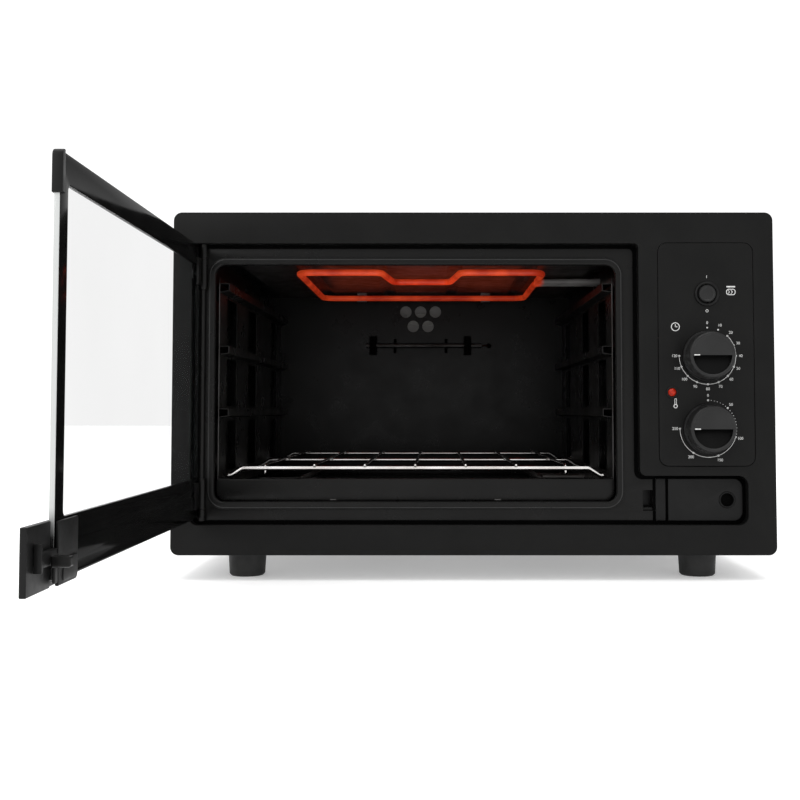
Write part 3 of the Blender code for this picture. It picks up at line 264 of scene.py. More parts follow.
def solidOp(base, tools, operation):
    # one Boolean after another, applied at once
    holder = bpy.data.objects.new("holder", base)
    bpy.context.scene.collection.objects.link(holder)
    helpers = []
    for tool in tools:
        helper = bpy.data.objects.new("helper", tool)
        bpy.context.scene.collection.objects.link(helper)
        helpers.append(helper)
        step = holder.modifiers.new("step", "BOOLEAN")
        step.operation = operation
        step.object = helper
    bpy.context.view_layer.update()
    mesh = bpy.data.meshes.new_from_object(holder.evaluated_get(bpy.context.evaluated_depsgraph_get()))
    for thing in (holder, *helpers):
        bpy.data.objects.remove(thing, do_unlink=True)
    return tidyMesh(mesh)


def mergeMeshes(meshes):
    shape = bmesh.new()
    for mesh in meshes:
        shape.from_mesh(mesh)
    merged = bpy.data.meshes.new("merged")
    shape.to_mesh(merged)
    shape.free()
    return shadeRound(merged)


def addPiece(name, mesh, surface, body, slotName, *replaced):
    # surface is one finish, or a list of them where faces differ
    mesh.name = name
    piece = bpy.data.objects.new(name, mesh)
    bpy.context.scene.collection.objects.link(piece)
    for one in surface if isinstance(surface, list) else [surface]:
        mesh.materials.append(one)
    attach(piece, body)
    if replaced:
        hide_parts(*replaced)


# finishes
noiseSpread = (0.3, 0.7)  # where most of a noise's values lie


def startFinish(name, colour, roughness, metallic=0.0, sheen=0.5):
    made = bpy.data.materials.new(name)
    made.use_nodes = True
    nodes, links = made.node_tree.nodes, made.node_tree.links
    shader = nodes["Principled BSDF"]
    shader.inputs["Base Color"].default_value = (*colour, 1)
    shader.inputs["Roughness"].default_value = roughness
    shader.inputs["Metallic"].default_value = metallic
    shader.inputs["Specular IOR Level"].default_value = sheen
    place = nodes.new("ShaderNodeTexCoord").outputs["Object"]
    return {"material": made, "nodes": nodes, "links": links, "shader": shader, "place": place}


def noise(kit, scale, detail):
    texture = kit["nodes"].new("ShaderNodeTexNoise")
    texture.inputs["Scale"].default_value = scale
    texture.inputs["Detail"].default_value = detail
    kit["links"].new(kit["place"], texture.inputs["Vector"])
    return texture.outputs["Fac"]


def ramp(kit, source, stops):
    made = kit["nodes"].new("ShaderNodeValToRGB")
    band = made.color_ramp
    while len(band.elements) < len(stops):
        band.elements.new(0.5)
    for element, (at, colour) in zip(band.elements, stops):
        element.position = at
        element.color = (*colour, 1)
    kit["links"].new(source, made.inputs["Fac"])
    return made.outputs["Color"]


def tint(kit, source, dark, light, low=0.35, high=0.65):
    colour = ramp(kit, source, [(low, dark), (high, light)])
    kit["links"].new(colour, kit["shader"].inputs["Base Color"])
    return colour


def roughen(kit, source, low, high):
    spread = kit["nodes"].new("ShaderNodeMapRange")
    spread.inputs["From Min"].default_value = noiseSpread[0]
    spread.inputs["From Max"].default_value = noiseSpread[1]
    spread.inputs["To Min"].default_value = low
    spread.inputs["To Max"].default_value = high
    kit["links"].new(source, spread.inputs["Value"])
    kit["links"].new(spread.outputs["Result"], kit["shader"].inputs["Roughness"])


def bump(kit, source, strength, height):
    node = kit["nodes"].new("ShaderNodeBump")
    node.inputs["Strength"].default_value = strength
    node.inputs["Distance"].default_value = height
    kit["links"].new(source, node.inputs["Height"])
    kit["links"].new(node.outputs["Normal"], kit["shader"].inputs["Normal"])


def satinBlack():
    # powder coat: fine orange peel, faint cloudiness and a breath of dust
    kit = startFinish("satinBlackPaint", (0.0048, 0.0048, 0.0046), 0.42, sheen=0.10)
    tint(kit, noise(kit, 22, 6), (0.0042, 0.0042, 0.0041), (0.0056, 0.0056, 0.0054))
    roughen(kit, noise(kit, 60, 5), 0.40, 0.44)
    bump(kit, noise(kit, 1700, 2), 0.06, 0.00004)
    return kit["material"]


def blackEnamel(name="blackEnamel", lift=1.0):
    # vitreous enamel: glossy, with shallow waves, pinholes and cooked-on haze
    kit = startFinish(name, (0.0035, 0.0034, 0.0033), 0.3, sheen=0.14)
    tint(kit, noise(kit, 14, 7), (0.0030 * lift, 0.0029 * lift, 0.0028 * lift),
         (0.0044 * lift, 0.0042 * lift, 0.0040 * lift))
    roughen(kit, noise(kit, 35, 6), 0.25, 0.36)
    bump(kit, noise(kit, 420, 3), 0.12, 0.00010)
    return kit["material"]


def gapShade():
    # the unlit sheet behind the door's outline, painted near black as painted shade
    kit = startFinish("gapShade", (0.0009, 0.0009, 0.0009), 0.6, sheen=0.02)
    tint(kit, noise(kit, 30, 3), (0.0007, 0.0007, 0.0007), (0.0012, 0.0012, 0.0012))
    bump(kit, noise(kit, 800, 2), 0.1, 0.00005)
    return kit["material"]


def blackPlastic(name="mouldedBlack", grain=0.28, light=0.005, sheen=0.14):
    kit = startFinish(name, (light, light, light), 0.42, sheen=sheen)
    tint(kit, noise(kit, 30, 5), (light * 0.8,) * 3, (light * 1.25,) * 3)
    roughen(kit, noise(kit, 80, 4), 0.34, 0.46)
    bump(kit, noise(kit, 2600, 2), grain, 0.00004)
    return kit["material"]


def zincSheet():
    # galvanised steel with its crystal flowers
    light = 0.42
    kit = startFinish("zincSheet", (light, light, light), 0.4, 1.0)
    flowers = kit["nodes"].new("ShaderNodeTexVoronoi")
    flowers.inputs["Scale"].default_value = 140
    kit["links"].new(kit["place"], flowers.inputs["Vector"])
    tint(kit, flowers.outputs["Distance"], (light * 0.75,) * 3, (light * 1.1,) * 3, 0.1, 0.6)
    roughen(kit, noise(kit, 90, 4), 0.32, 0.52)
    bump(kit, flowers.outputs["Distance"], 0.08, 0.0001)
    return kit["material"]


def darkSteel():
    # heat-darkened sheet with brown and blue temper patches
    kit = startFinish("darkSteel", (0.09, 0.088, 0.085), 0.5, 1.0)
    tint(kit, noise(kit, 26, 6), (0.060, 0.056, 0.052), (0.115, 0.112, 0.112))
    roughen(kit, noise(kit, 70, 4), 0.42, 0.62)
    bump(kit, noise(kit, 600, 3), 0.12, 0.00006)
    return kit["material"]


def lampHousingGlow():
    # the lamp's housing, lit from inside: a painted glow on the sheet stands in for the lamp's light
    kit = startFinish("lampHousingGlow", (0.10, 0.099, 0.096), 0.5, 0.4)
    tint(kit, noise(kit, 60, 5), (0.085, 0.084, 0.082), (0.115, 0.114, 0.112))
    kit["shader"].inputs["Emission Color"].default_value = (1.0, 0.97, 0.93, 1)
    kit["shader"].inputs["Emission Strength"].default_value = 0.020
    bump(kit, noise(kit, 500, 3), 0.1, 0.00006)
    return kit["material"]


def chromeWire():
    kit = startFinish("chromeWire", (0.62, 0.61, 0.60), 0.16, 1.0)
    tint(kit, noise(kit, 40, 5), (0.52, 0.50, 0.48), (0.70, 0.69, 0.68))
    roughen(kit, noise(kit, 160, 4), 0.10, 0.26)
    bump(kit, noise(kit, 900, 2), 0.08, 0.00005)
    return kit["material"]


def glowingTube(name, reachX, glow):
    # the heated length glows; the leads past reachX stay grey
    kit = startFinish(name, (0.22, 0.03, 0.01), 0.55)
    nodes, links = kit["nodes"], kit["links"]
    apart = nodes.new("ShaderNodeSeparateXYZ")
    links.new(kit["place"], apart.inputs["Vector"])
    fade = nodes.new("ShaderNodeMapRange")
    fade.inputs["From Min"].default_value = reachX
    fade.inputs["From Max"].default_value = reachX + 0.006
    links.new(apart.outputs["X"], fade.inputs["Value"])
    patches = noise(kit, 38, 5)
    hot = ramp(kit, patches, [(0.36, (0.36, 0.020, 0.004)), (0.64, (0.62, 0.055, 0.012))])
    skin = ramp(kit, patches, [(0.35, (0.11, 0.108, 0.105)), (0.65, (0.17, 0.165, 0.16))])
    colour = nodes.new("ShaderNodeMix")
    colour.data_type = "RGBA"
    links.new(fade.outputs["Result"], colour.inputs["Factor"])
    links.new(hot, colour.inputs["A"])
    links.new(skin, colour.inputs["B"])
    links.new(colour.outputs["Result"], kit["shader"].inputs["Base Color"])
    light = nodes.new("ShaderNodeMix")
    light.data_type = "RGBA"
    light.inputs["B"].default_value = (0, 0, 0, 1)
    links.new(fade.outputs["Result"], light.inputs["Factor"])
    links.new(hot, light.inputs["A"])
    links.new(light.outputs["Result"], kit["shader"].inputs["Emission Color"])
    kit["shader"].inputs["Emission Strength"].default_value = glow
    bump(kit, noise(kit, 1500, 2), 0.2, 0.00005)
    return kit["material"]


def clearGlass():
    # thin clear pane with faint smears
    kit = startFinish("clearGlass", (0.014, 0.016, 0.016), 0.05, sheen=0.0)
    tint(kit, noise(kit, 5, 2), (0.012, 0.014, 0.014), (0.018, 0.020, 0.020))
    haze = kit["nodes"].new("ShaderNodeMapRange")
    haze.inputs["To Min"].default_value = 0.105
    haze.inputs["To Max"].default_value = 0.135
    kit["links"].new(noise(kit, 9, 4), haze.inputs["Value"])
    kit["links"].new(haze.outputs["Result"], kit["shader"].inputs["Alpha"])
    roughen(kit, noise(kit, 9, 4), 0.04, 0.09)
    return kit["material"]


def printedBlack():
    kit = startFinish("printedBlack", (0.003, 0.003, 0.003), 0.12, sheen=0.022)
    tint(kit, noise(kit, 25, 4), (0.0025, 0.0025, 0.0025), (0.0040, 0.0040, 0.0039))
    roughen(kit, noise(kit, 30, 4), 0.07, 0.14)
    bump(kit, noise(kit, 300, 2), 0.03, 0.0001)
    return kit["material"]


def whitePrint():
    kit = startFinish("whitePrint", (0.55, 0.55, 0.54), 0.5)
    tint(kit, noise(kit, 400, 3), (0.46, 0.46, 0.45), (0.62, 0.62, 0.61))
    bump(kit, noise(kit, 3000, 2), 0.15, 0.00003)
    return kit["material"]


def redLens():
    kit = startFinish("redLens", (0.3, 0.012, 0.004), 0.22, sheen=0.2)
    colour = tint(kit, noise(kit, 500, 2), (0.20, 0.007, 0.002), (0.34, 0.018, 0.005))
    kit["links"].new(colour, kit["shader"].inputs["Emission Color"])
    kit["shader"].inputs["Emission Strength"].default_value = 0.16
    bump(kit, noise(kit, 900, 1), 0.2, 0.0001)
    return kit["material"]


def plainCeramic():
    kit = startFinish("firedCeramic", (0.62, 0.58, 0.52), 0.6)
    tint(kit, noise(kit, 60, 6), (0.50, 0.46, 0.41), (0.70, 0.67, 0.61))
    bump(kit, noise(kit, 800, 3), 0.3, 0.0001)
    return kit["material"]


def footRubber():
    kit = startFinish("footRubber", (0.013, 0.013, 0.0127), 0.6, sheen=0.3)
    tint(kit, noise(kit, 50, 5), (0.010, 0.010, 0.0098), (0.017, 0.017, 0.0166))
    roughen(kit, noise(kit, 90, 4), 0.5, 0.72)
    bump(kit, noise(kit, 1800, 3), 0.4, 0.00006)
    return kit["material"]


def copperTube():
    kit = startFinish("copperTube", (0.35, 0.16, 0.08), 0.35, 1.0)
    tint(kit, noise(kit, 70, 5), (0.20, 0.09, 0.05), (0.45, 0.22, 0.12))
    roughen(kit, noise(kit, 120, 3), 0.28, 0.5)
    return kit["material"]


def bulbGlass():
    kit = startFinish("bulbGlass", (0.10, 0.10, 0.098), 0.4, sheen=0.1)
    tint(kit, noise(kit, 80, 3), (0.09, 0.09, 0.088), (0.12, 0.12, 0.117))
    kit["shader"].inputs["Emission Color"].default_value = (1.0, 0.96, 0.9, 1)
    kit["shader"].inputs["Emission Strength"].default_value = 0.03
    return kit["material"]


satin = satinBlack()
enamel = blackEnamel()
plastic = blackPlastic()
knobPlastic = blackPlastic("knobBlack", 0.18, 0.011, 0.22)
# a darker copy of the knob plastic: painted shade for the knobs' recesses
recessShadePlastic = blackPlastic("recessPaintedShade", 0.18, 0.0035, 0.05)
darkMetal = darkSteel()
gapShadeFinish = gapShade()
zinc = zincSheet()
chrome = chromeWire()
glass = clearGlass()
blackPrint = printedBlack()
white = whitePrint()
ceramic = plainCeramic()
rubber = footRubber()
lens = redLens()
copper = copperTube()
bulb = bulbGlass()
print("finishes made")

nodeFinish = {
    "black_paint": satin, "control_print": satin, "black_enamel": enamel, "black_plastic": plastic,
    "zinc_steel": zinc, "dark_steel": darkMetal, "chrome": chrome, "ceramic": ceramic, "rubber": rubber,
    "red_lens": lens, "copper": copper, "lamp_glass": bulb, "door_glass": glass, "heating_tube": chrome,
}
for part in frame["record"]["subparts"]:
    node = frame["nodes"][part["node"]]
    node.data.materials.clear()
    node.data.materials.append(nodeFinish[part["material_slot"]])
# nodes that look different in place from the rest of their slot; the bulb clips take painted shade and the
# lamp housing a painted glow
linerEnamel = blackEnamel("linerEnamel", 2.6)
inPlace = {
    "lamp_housing": lampHousingGlow(), "hinge_rod": enamel, "latch_tongue": enamel, "catch_housing": enamel,
    "catch_roller": enamel, "bulb_clip_left": gapShadeFinish, "bulb_clip_right": gapShadeFinish,
    "side_liner_left": linerEnamel, "side_liner_right": linerEnamel,
}
for name, finish in inPlace.items():
    frame["nodes"][name].data.materials[0] = finish

# front of the housing
frameLow, frameHigh = spanOf("front_frame")
barLow, barHigh = spanOf("well_bar")
plateLow, plateHigh = spanOf("well_plate")
rimLow, rimHigh = spanOf("cavity_rim")
panelLow, panelHigh = spanOf("control_panel")
frameFace = frameLow.y - frontY
flangeDepth = frameHigh.y - frontY

front = {
    "corner": 0.008, "wall": 0.0015, "wallGap": 0.0018, "face": 0.0020, "edge": 0.0008, "seam": 0.0003,
    "flange": 0.005, "cornerLow": 0.007, "cornerWell": 0.009, "cornerTop": 0.0045, "step": 0.006,
    "wellGap": 0.0028, "besideBar": 0.0162, "panelGap": 0.0003, "panelCorner": 0.009,
}
ridge = {
    "width": 0.0072, "corner": 0.010, "lip": 0.0014, "inside": 0.0002, "depth": 0.0032, "edge": 0.0015,
    "back": 0.0012, "crest": 0.0052, "crestWire": 0.0006, "crestDepth": 0.0007,
}
cutLeft = frameLow.x + front["flange"]
cutBottom = frameLow.z + front["flange"]
cutTop = frameHigh.z - front["flange"]
wellRight = frameHigh.x - front["flange"]
wellTop = plateHigh.z + front["wellGap"]
cutRight = barLow.x - front["besideBar"]


def cutOutline(grow=0.0):
    return roundCorners([
        (cutLeft - grow, cutBottom - grow, front["cornerLow"] + grow),
        (wellRight + grow, cutBottom - grow, front["cornerWell"] + grow),
        (wellRight + grow, wellTop + grow, front["cornerWell"] + grow),
        (cutRight + grow, wellTop + grow, front["step"] - grow / 2),
        (cutRight + grow, cutTop + grow, front["cornerTop"] + grow),
        (cutLeft - grow, cutTop + grow, front["cornerTop"] + grow),
    ])


def fasciaOutline(shrink=0.0):
    return roundBox((fasciaLow.x + shrink, fasciaHigh.x - shrink),
                    (fasciaLow.z + shrink, fasciaHigh.z - shrink), front["corner"] - shrink)


def openingOutline(grow=0.0):
    inset = ridge["width"] - grow
    return roundBox((rimLow.x + inset, rimHigh.x - inset), (rimLow.z + inset, rimHigh.z - inset),
                    ridge["corner"] + grow)


def panelOutline(grow=0.0):
    return roundBox((panelLow.x - grow, panelHigh.x + grow), (panelLow.z - grow, panelHigh.z + grow),
                    front["panelCorner"] + grow)


wallStart = front["face"] - front["edge"]
addPiece("fasciaShell", mergeMeshes([
    frontPlate([fasciaOutline(), cutOutline(), panelOutline(front["panelGap"])], (0, front["face"]),
               front["edge"], 3),
    frontPlate([fasciaOutline(), fasciaOutline(front["wall"])], (wallStart, fasciaHigh.y - frontY),
               front["seam"]),
    frontPlate([cutOutline(front["wall"]), cutOutline()], (wallStart, flangeDepth - front["wallGap"]),
               front["seam"]),
]), satin, "housing", "black_paint", "front_fascia")

# the catch's slot, measured from the bar and from the foot of the finger plate
slot = {"far": 0.0117, "near": 0.0017, "low": 0.0098, "high": 0.0293, "corner": 0.0008}
slotX = (barLow.x - slot["far"], barLow.x - slot["near"])
slotZ = (plateLow.z + slot["low"], plateLow.z + slot["high"])
slotHole = roundBox(slotX, slotZ, slot["corner"], 3)

# the raised sheet ends beside the bar, so the slot is a notch in its side
raised = {"inset": 0.0035, "corner": 0.005, "step": 0.007, "barGap": 0.0022, "thick": 0.0013, "lap": 0.0010,
          "edge": 0.0004, "flangeEdge": 0.0002}
raisedLeft, raisedRight = cutLeft + raised["inset"], barLow.x - raised["barGap"]
raisedLow, raisedTop = cutBottom + raised["inset"], cutTop - raised["inset"]
raisedStep, raisedWell = cutRight - raised["inset"], wellTop - raised["inset"]
raisedOutline = roundCorners([
    (raisedLeft, raisedLow, raised["corner"]), (raisedRight, raisedLow, 0), (raisedRight, slotZ[0], 0),
    (slotX[0], slotZ[0], slot["corner"]), (slotX[0], slotZ[1], slot["corner"]), (raisedRight, slotZ[1], 0),
    (raisedRight, raisedWell, 0), (raisedStep, raisedWell, raised["step"]),
    (raisedStep, raisedTop, raised["corner"]), (raisedLeft, raisedTop, raised["corner"]),
])
addPiece("doorFrame", frontPlate([raisedOutline, openingOutline()], (frameFace, frameFace + raised["thick"]),
                                 raised["edge"], 3),
         enamel, "housing", "black_enamel", "front_frame")
# the flange sheet takes painted shade: it is painted near black for the dark gap round the door
addPiece("frameFlange", frontPlate([cutOutline(front["flange"]), openingOutline(), slotHole],
                                   (frameFace + raised["lap"], flangeDepth), raised["flangeEdge"]),
         gapShadeFinish, "housing", "black_enamel")

ridgeFace = rimLow.y - frontY
addPiece("openingRidge", mergeMeshes([
    frontPlate([openingOutline(ridge["width"]), openingOutline()],
               (ridgeFace + ridge["back"], rimHigh.y - frontY), front["seam"]),
    frontPlate([openingOutline(ridge["width"] - ridge["lip"]), openingOutline(ridge["inside"])],
               (ridgeFace, ridgeFace + ridge["depth"]), ridge["edge"], 5),
]), enamel, "housing", "black_enamel", "cavity_rim")
# a thin, lighter tube along the ridge's edge: painted highlight on the crest
crestY = behind(ridgeFace + ridge["crestDepth"])
crestLine = [(spot.x, crestY, spot.y) for spot in openingOutline(ridge["crest"])]
addPiece("ridgeCrest", tubeMesh(crestLine, ridge["crestWire"], 3, closed=True),
         blackPlastic("crestHighlight", 0.15, 0.02, 0.3), "housing", "black_enamel")

well = {"edge": 0.0009, "corner": 0.001, "farCorner": 0.009, "holeX": 0.057, "holeZ": 0.0203,
        "hole": 0.0076, "collar": 0.0064, "collarSink": 0.0004}
addPiece("grooveBar", blockMesh(barLow, barHigh, well["edge"], 3),
         plastic, "housing", "black_plastic", "well_bar")
fingerOutline = roundCorners([
    (plateLow.x, plateLow.z, well["corner"]), (plateHigh.x, plateLow.z, well["farCorner"]),
    (plateHigh.x, plateHigh.z, well["farCorner"]), (plateLow.x, plateHigh.z, well["corner"]),
])
holeX, holeZ = plateLow.x + well["holeX"], plateLow.z + well["holeZ"]
fingerDepth = (plateLow.y - frontY, plateHigh.y - frontY)
collarFace = well["collarSink"] - fingerDepth[0]
addPiece("fingerPlate", mergeMeshes([
    frontPlate([fingerOutline, ringLine(holeX, holeZ, well["hole"])], fingerDepth, well["edge"], 3),
    turnedMesh([(well["collar"], collarFace, 0.0003), (well["hole"], collarFace, 0.0003),
                (well["hole"], -fingerDepth[1], 0.0002), (well["collar"], -fingerDepth[1], 0.0002)],
               (holeX, frontY, holeZ)),
]), plastic, "housing", "black_plastic", "well_plate")
print("front sheets made")

# controls
timerLow, timerHigh = spanOf("timer_knob")
warmLow, warmHigh = spanOf("temperature_knob")
bezelLow, bezelHigh = spanOf("button_bezel")
pilotLow, pilotHigh = spanOf("pilot_bezel")
knobX = (timerLow.x + timerHigh.x) / 2
timerZ = (timerLow.z + timerHigh.z) / 2
warmZ = (warmLow.z + warmHigh.z) / 2
buttonZ = (bezelLow.z + bezelHigh.z) / 2
pilotX = (pilotLow.x + pilotHigh.x) / 2
pilotZ = (pilotLow.z + pilotHigh.z) / 2

inlay = {"sink": 0.00012, "edge": 0.0006, "buttonHole": 0.0108, "shaftHole": 0.0042, "pilotHole": 0.0052}
inlayHoles = [ringLine(knobX, buttonZ, inlay["buttonHole"]), ringLine(knobX, timerZ, inlay["shaftHole"]),
              ringLine(knobX, warmZ, inlay["shaftHole"]), ringLine(pilotX, pilotZ, inlay["pilotHole"])]
addPiece("controlInlay", frontPlate([panelOutline()] + inlayHoles, (inlay["sink"], front["face"]),
                                    inlay["edge"], 3),
         satin, "housing", "control_print", "control_panel")

# the recess is measured at the knob's middle line, where it is deepest
knob = {
    "radius": 0.024, "height": 0.022, "face": 0.0218, "recess": 0.0075, "recessWall": 0.0034,
    "recessFloor": 0.008, "pointer": 0.0048, "pointerInset": 0.0050, "flutes": 48, "fluteWire": 0.00035,
    "fluteFoot": (0.0065, 0.00145), "fluteTip": (0.0190, 0.00235),
}


def knobMesh(z):
    radius, top, face = knob["radius"], knob["height"], knob["face"]
    centre = (knobX, frontY, z)
    body = turnedMesh([
        (0, top - 0.0006, 0), (face - 0.0032, top - 0.0006, 0.0002), (face - 0.0024, top, 0.0003),
        (face - 0.0009, top, 0.0004), (face, top - 0.0011, 0.0006), (radius - 0.0012, 0.006, 0.001),
        (radius, 0.0045, 0.0008), (radius, 0.0009, 0.0003), (0, 0.0009, 0)], centre, steps=96)
    # the tool is a half disc, cut by a slope that comes out at the foot of the face
    reach, floor, above = face - knob["recessWall"], knob["recessFloor"], top + 0.01
    moon = turnedMesh([(0, above, 0), (reach, above, 0), (reach, floor, 0), (0, floor, 0)],
                      centre, steps=96, soft=1)
    tilt = Matrix.Rotation(-math.atan2(knob["recess"], face), 4, "X")
    foot = Matrix.Translation((knobX, frontY - top, z - face))
    wedge = blockMesh((-0.03, -0.03, -0.03), (0.03, 0, 0.03), 0, matrix=foot @ tilt)
    below = blockMesh((knobX - 0.04, frontY - 0.06, z - 0.04), (knobX + 0.04, frontY + 0.02, z - 0.0002), 0)
    moon = solidOp(solidOp(moon, [wedge], "INTERSECT"), [below], "INTERSECT")
    body = solidOp(body, [moon], "DIFFERENCE")
    # the sloping floor and wall of the recess take the darker finish, painted shade for the recess
    for flat in body.polygons:
        across = Vector((flat.center.x - knobX, flat.center.z - z))
        inRecess = across.length < face - 0.0030 and flat.center.z < z + 0.0004
        if inRecess and flat.center.y > frontY - top + 0.0008:
            flat.material_index = 1
    return body


def pointerMesh(z):
    reach = knob["face"] - knob["pointerInset"]
    top = frontY - knob["height"] + 0.0006
    return blockMesh((knobX - reach - 0.0008, top - 0.0003, z - 0.0005),
                     (knobX - reach + knob["pointer"], top + 0.0004, z + 0.0005), 0.0001, 1)


def gripRibs(z):
    # fine flutes round the skirt of a knob; each end is (height, distance in from the skirt)
    ribs = []
    for i in range(knob["flutes"]):
        turn = 2 * math.pi * i / knob["flutes"]
        arm = Vector((math.cos(turn), 0, math.sin(turn)))
        foot, tip = (Vector((knobX, frontY - height, z)) + arm * (knob["radius"] - inward)
                     for height, inward in (knob["fluteFoot"], knob["fluteTip"]))
        ribs.append(tubeMesh([foot, tip], knob["fluteWire"], 1))
    return mergeMeshes(ribs)


for name, z, body, node in (("timerKnob", timerZ, "timer_dial", "timer_knob"),
                            ("heatKnob", warmZ, "temperature_dial", "temperature_knob")):
    addPiece(name, knobMesh(z), [knobPlastic, recessShadePlastic], body, "black_plastic", node)
    addPiece(name + "Ribs", gripRibs(z), knobPlastic, body, "black_plastic")
    addPiece(name + "Pointer", pointerMesh(z), white, body, "black_plastic")

buttonHead = 0.0084
addPiece("powerCap", turnedMesh(
    [(0, 0.0030, 0), (buttonHead - 0.0028, 0.0030, 0.001), (buttonHead - 0.0018, 0.0036, 0.0003),
     (buttonHead - 0.0008, 0.0034, 0.0004), (buttonHead, 0.0020, 0.0005), (buttonHead, -0.006, 0.0002),
     (0.0035, -0.006, 0), (0.0035, -0.018, 0.0002), (0, -0.018, 0)], (knobX, frontY, buttonZ)),
    knobPlastic, "power_key", "black_plastic", "power_button")
addPiece("powerRing", turnedMesh(
    [(0.0089, 0.0012, 0.0002), (0.0105, 0.0022, 0.0005), (0.0116, 0.0016, 0.0004), (0.0120, 0.0003, 0.0001),
     (0.0104, 0.0003, 0), (0.0104, -0.008, 0), (0.0089, -0.008, 0)], (knobX, frontY, buttonZ)),
    plastic, "housing", "black_plastic", "button_bezel")
addPiece("pilotDome", turnedMesh(
    [(0, 0.0023, 0), (0.0020, 0.0022, 0.001), (0.0038, 0.0006, 0.0008), (0.0040, -0.004, 0), (0, -0.004, 0)],
    (pilotX, frontY, pilotZ), steps=40), lens, "housing", "red_lens", "pilot_lens")
addPiece("pilotRing", turnedMesh(
    [(0.0043, 0.0009, 0.0001), (0.0052, 0.0012, 0.0003), (0.0061, 0.0003, 0.0002), (0.0049, 0.0003, 0),
     (0.0049, -0.010, 0), (0.0043, -0.010, 0)], (pilotX, frontY, pilotZ), steps=40),
    plastic, "housing", "black_plastic", "pilot_bezel")
print("controls made")

# white print on the inlay; the signs' places are (across from the knobs, up from a dial's middle)
printing = {"scale": 0.0273, "numbers": 0.0319, "line": 0.00042, "height": 0.0038, "lift": 0.00006}
signs = {"line": 0.0007, "clock": (-0.0307, 0.0281), "heat": (-0.0312, 0.0245), "grill": (0.0232, 0.0632)}
printDepth = (inlay["sink"] - printing["lift"], 0.00016)


def inkPlate(outlines):
    return frontPlate(outlines, printDepth, 0.00001, 0)


def inkArc(z, start, end):
    # angles run clockwise from the top, in degrees
    steps = max(4, int(abs(end - start) / 4))
    turns = [math.radians(start + (end - start) * i / steps) for i in range(steps + 1)]
    outer, inner = ([Vector((knobX + math.sin(turn) * reach, z + math.cos(turn) * reach)) for turn in turns]
                    for reach in (printing["scale"] + printing["line"] / 2,
                                  printing["scale"] - printing["line"] / 2))
    return inkPlate([outer + inner[::-1]])


def inkSpot(z, turn, radius=0.0008, hole=0.0):
    angle = math.radians(turn)
    spot = (knobX + math.sin(angle) * printing["scale"], z + math.cos(angle) * printing["scale"])
    return inkPlate([ringLine(*spot, radius, 20)] + ([ringLine(*spot, hole, 20)] if hole else []))


def inkNumber(word, z, turn):
    angle = math.radians(turn)
    curve = bpy.data.curves.new("word", "FONT")
    curve.body = word
    curve.size = printing["height"]
    curve.align_x = "CENTER"
    curve.align_y = "CENTER"
    curve.extrude = printing["lift"]
    spot = (knobX + math.sin(angle) * printing["numbers"], behind(sum(printDepth) / 2),
            z + math.cos(angle) * printing["numbers"])
    return curveToMesh(curve, Matrix.Translation(spot) @ upright)


tenMinutes = 22.5  # degrees on the timer
timerInk = [inkArc(timerZ, 2 * tenMinutes, 12 * tenMinutes), inkSpot(timerZ, 0), inkSpot(timerZ, tenMinutes)]
timerInk += [inkSpot(timerZ, tenMinutes * i, 0.00095, 0.0005) for i in range(2, 13)]
timerInk += [inkNumber(str(i * 10), timerZ, tenMinutes * i) for i in range(13)]
heatStops = [(0, "0"), (43.5, "50"), (107, "100"), (160, "150"), (212, "200"), (270, "250")]
arcStart, arcEnd = heatStops[2][0], heatStops[-1][0]  # below 100 the scale is a row of dots
heatInk = [inkArc(warmZ, arcStart, arcEnd)]
heatInk += [inkSpot(warmZ, arcStart * i / 17, 0.00035) for i in range(18)]
heatInk += [inkSpot(warmZ, turn, 0.00095, 0.0005 if turn > 50 else 0) for turn, word in heatStops]
heatInk += [inkNumber(word, warmZ, turn) for turn, word in heatStops]


def inkBar(x, z, width, height, turn=0):
    corners = [Vector((sx * width / 2, sz * height / 2)) for sx, sz in ((-1, -1), (1, -1), (1, 1), (-1, 1))]
    for corner in corners:
        corner.rotate(Matrix.Rotation(turn, 2))
    return inkPlate([[corner + Vector((x, z)) for corner in corners]])


def inkRing(x, z, radius, width):
    return inkPlate([ringLine(x, z, radius, 32), ringLine(x, z, radius - width, 32)])


clockX, clockZ = knobX + signs["clock"][0], timerZ + signs["clock"][1]
heatX, heatZ = knobX + signs["heat"][0], warmZ + signs["heat"][1]
grillX, grillZ = knobX + signs["grill"][0], timerZ + signs["grill"][1]
stroke = signs["line"]
signInk = [inkRing(clockX, clockZ, 0.0042, stroke), inkBar(clockX, clockZ + 0.0011, stroke, 0.0028),
           inkBar(clockX + 0.0009, clockZ, 0.0022, stroke)]
signInk += [inkBar(heatX + side, heatZ + 0.0016, 0.0005, 0.0054) for side in (-0.0008, 0.0008)]
signInk += [inkRing(heatX, heatZ - 0.0028, 0.0020, stroke), inkBar(heatX, heatZ + 0.0043, 0.0021, 0.0005)]
# a heating bar above a closed loop with two chevrons in it
loopX, loopZ = (grillX - 0.0045, grillX + 0.0045), (grillZ - 0.0044, grillZ + 0.0016)
innerX, innerZ = ((span[0] + stroke, span[1] - stroke) for span in (loopX, loopZ))
signInk += [inkBar(grillX, grillZ + 0.0037, 0.0084, 0.0013),
            inkPlate([roundBox(loopX, loopZ, 0.0025), roundBox(innerX, innerZ, 0.0018)])]
for x in (grillX - 0.0018, grillX + 0.0010):
    for drop, turn in ((0.0007, -0.8), (0.0021, 0.8)):
        signInk.append(inkBar(x, grillZ - drop, 0.0026, 0.0006, turn))
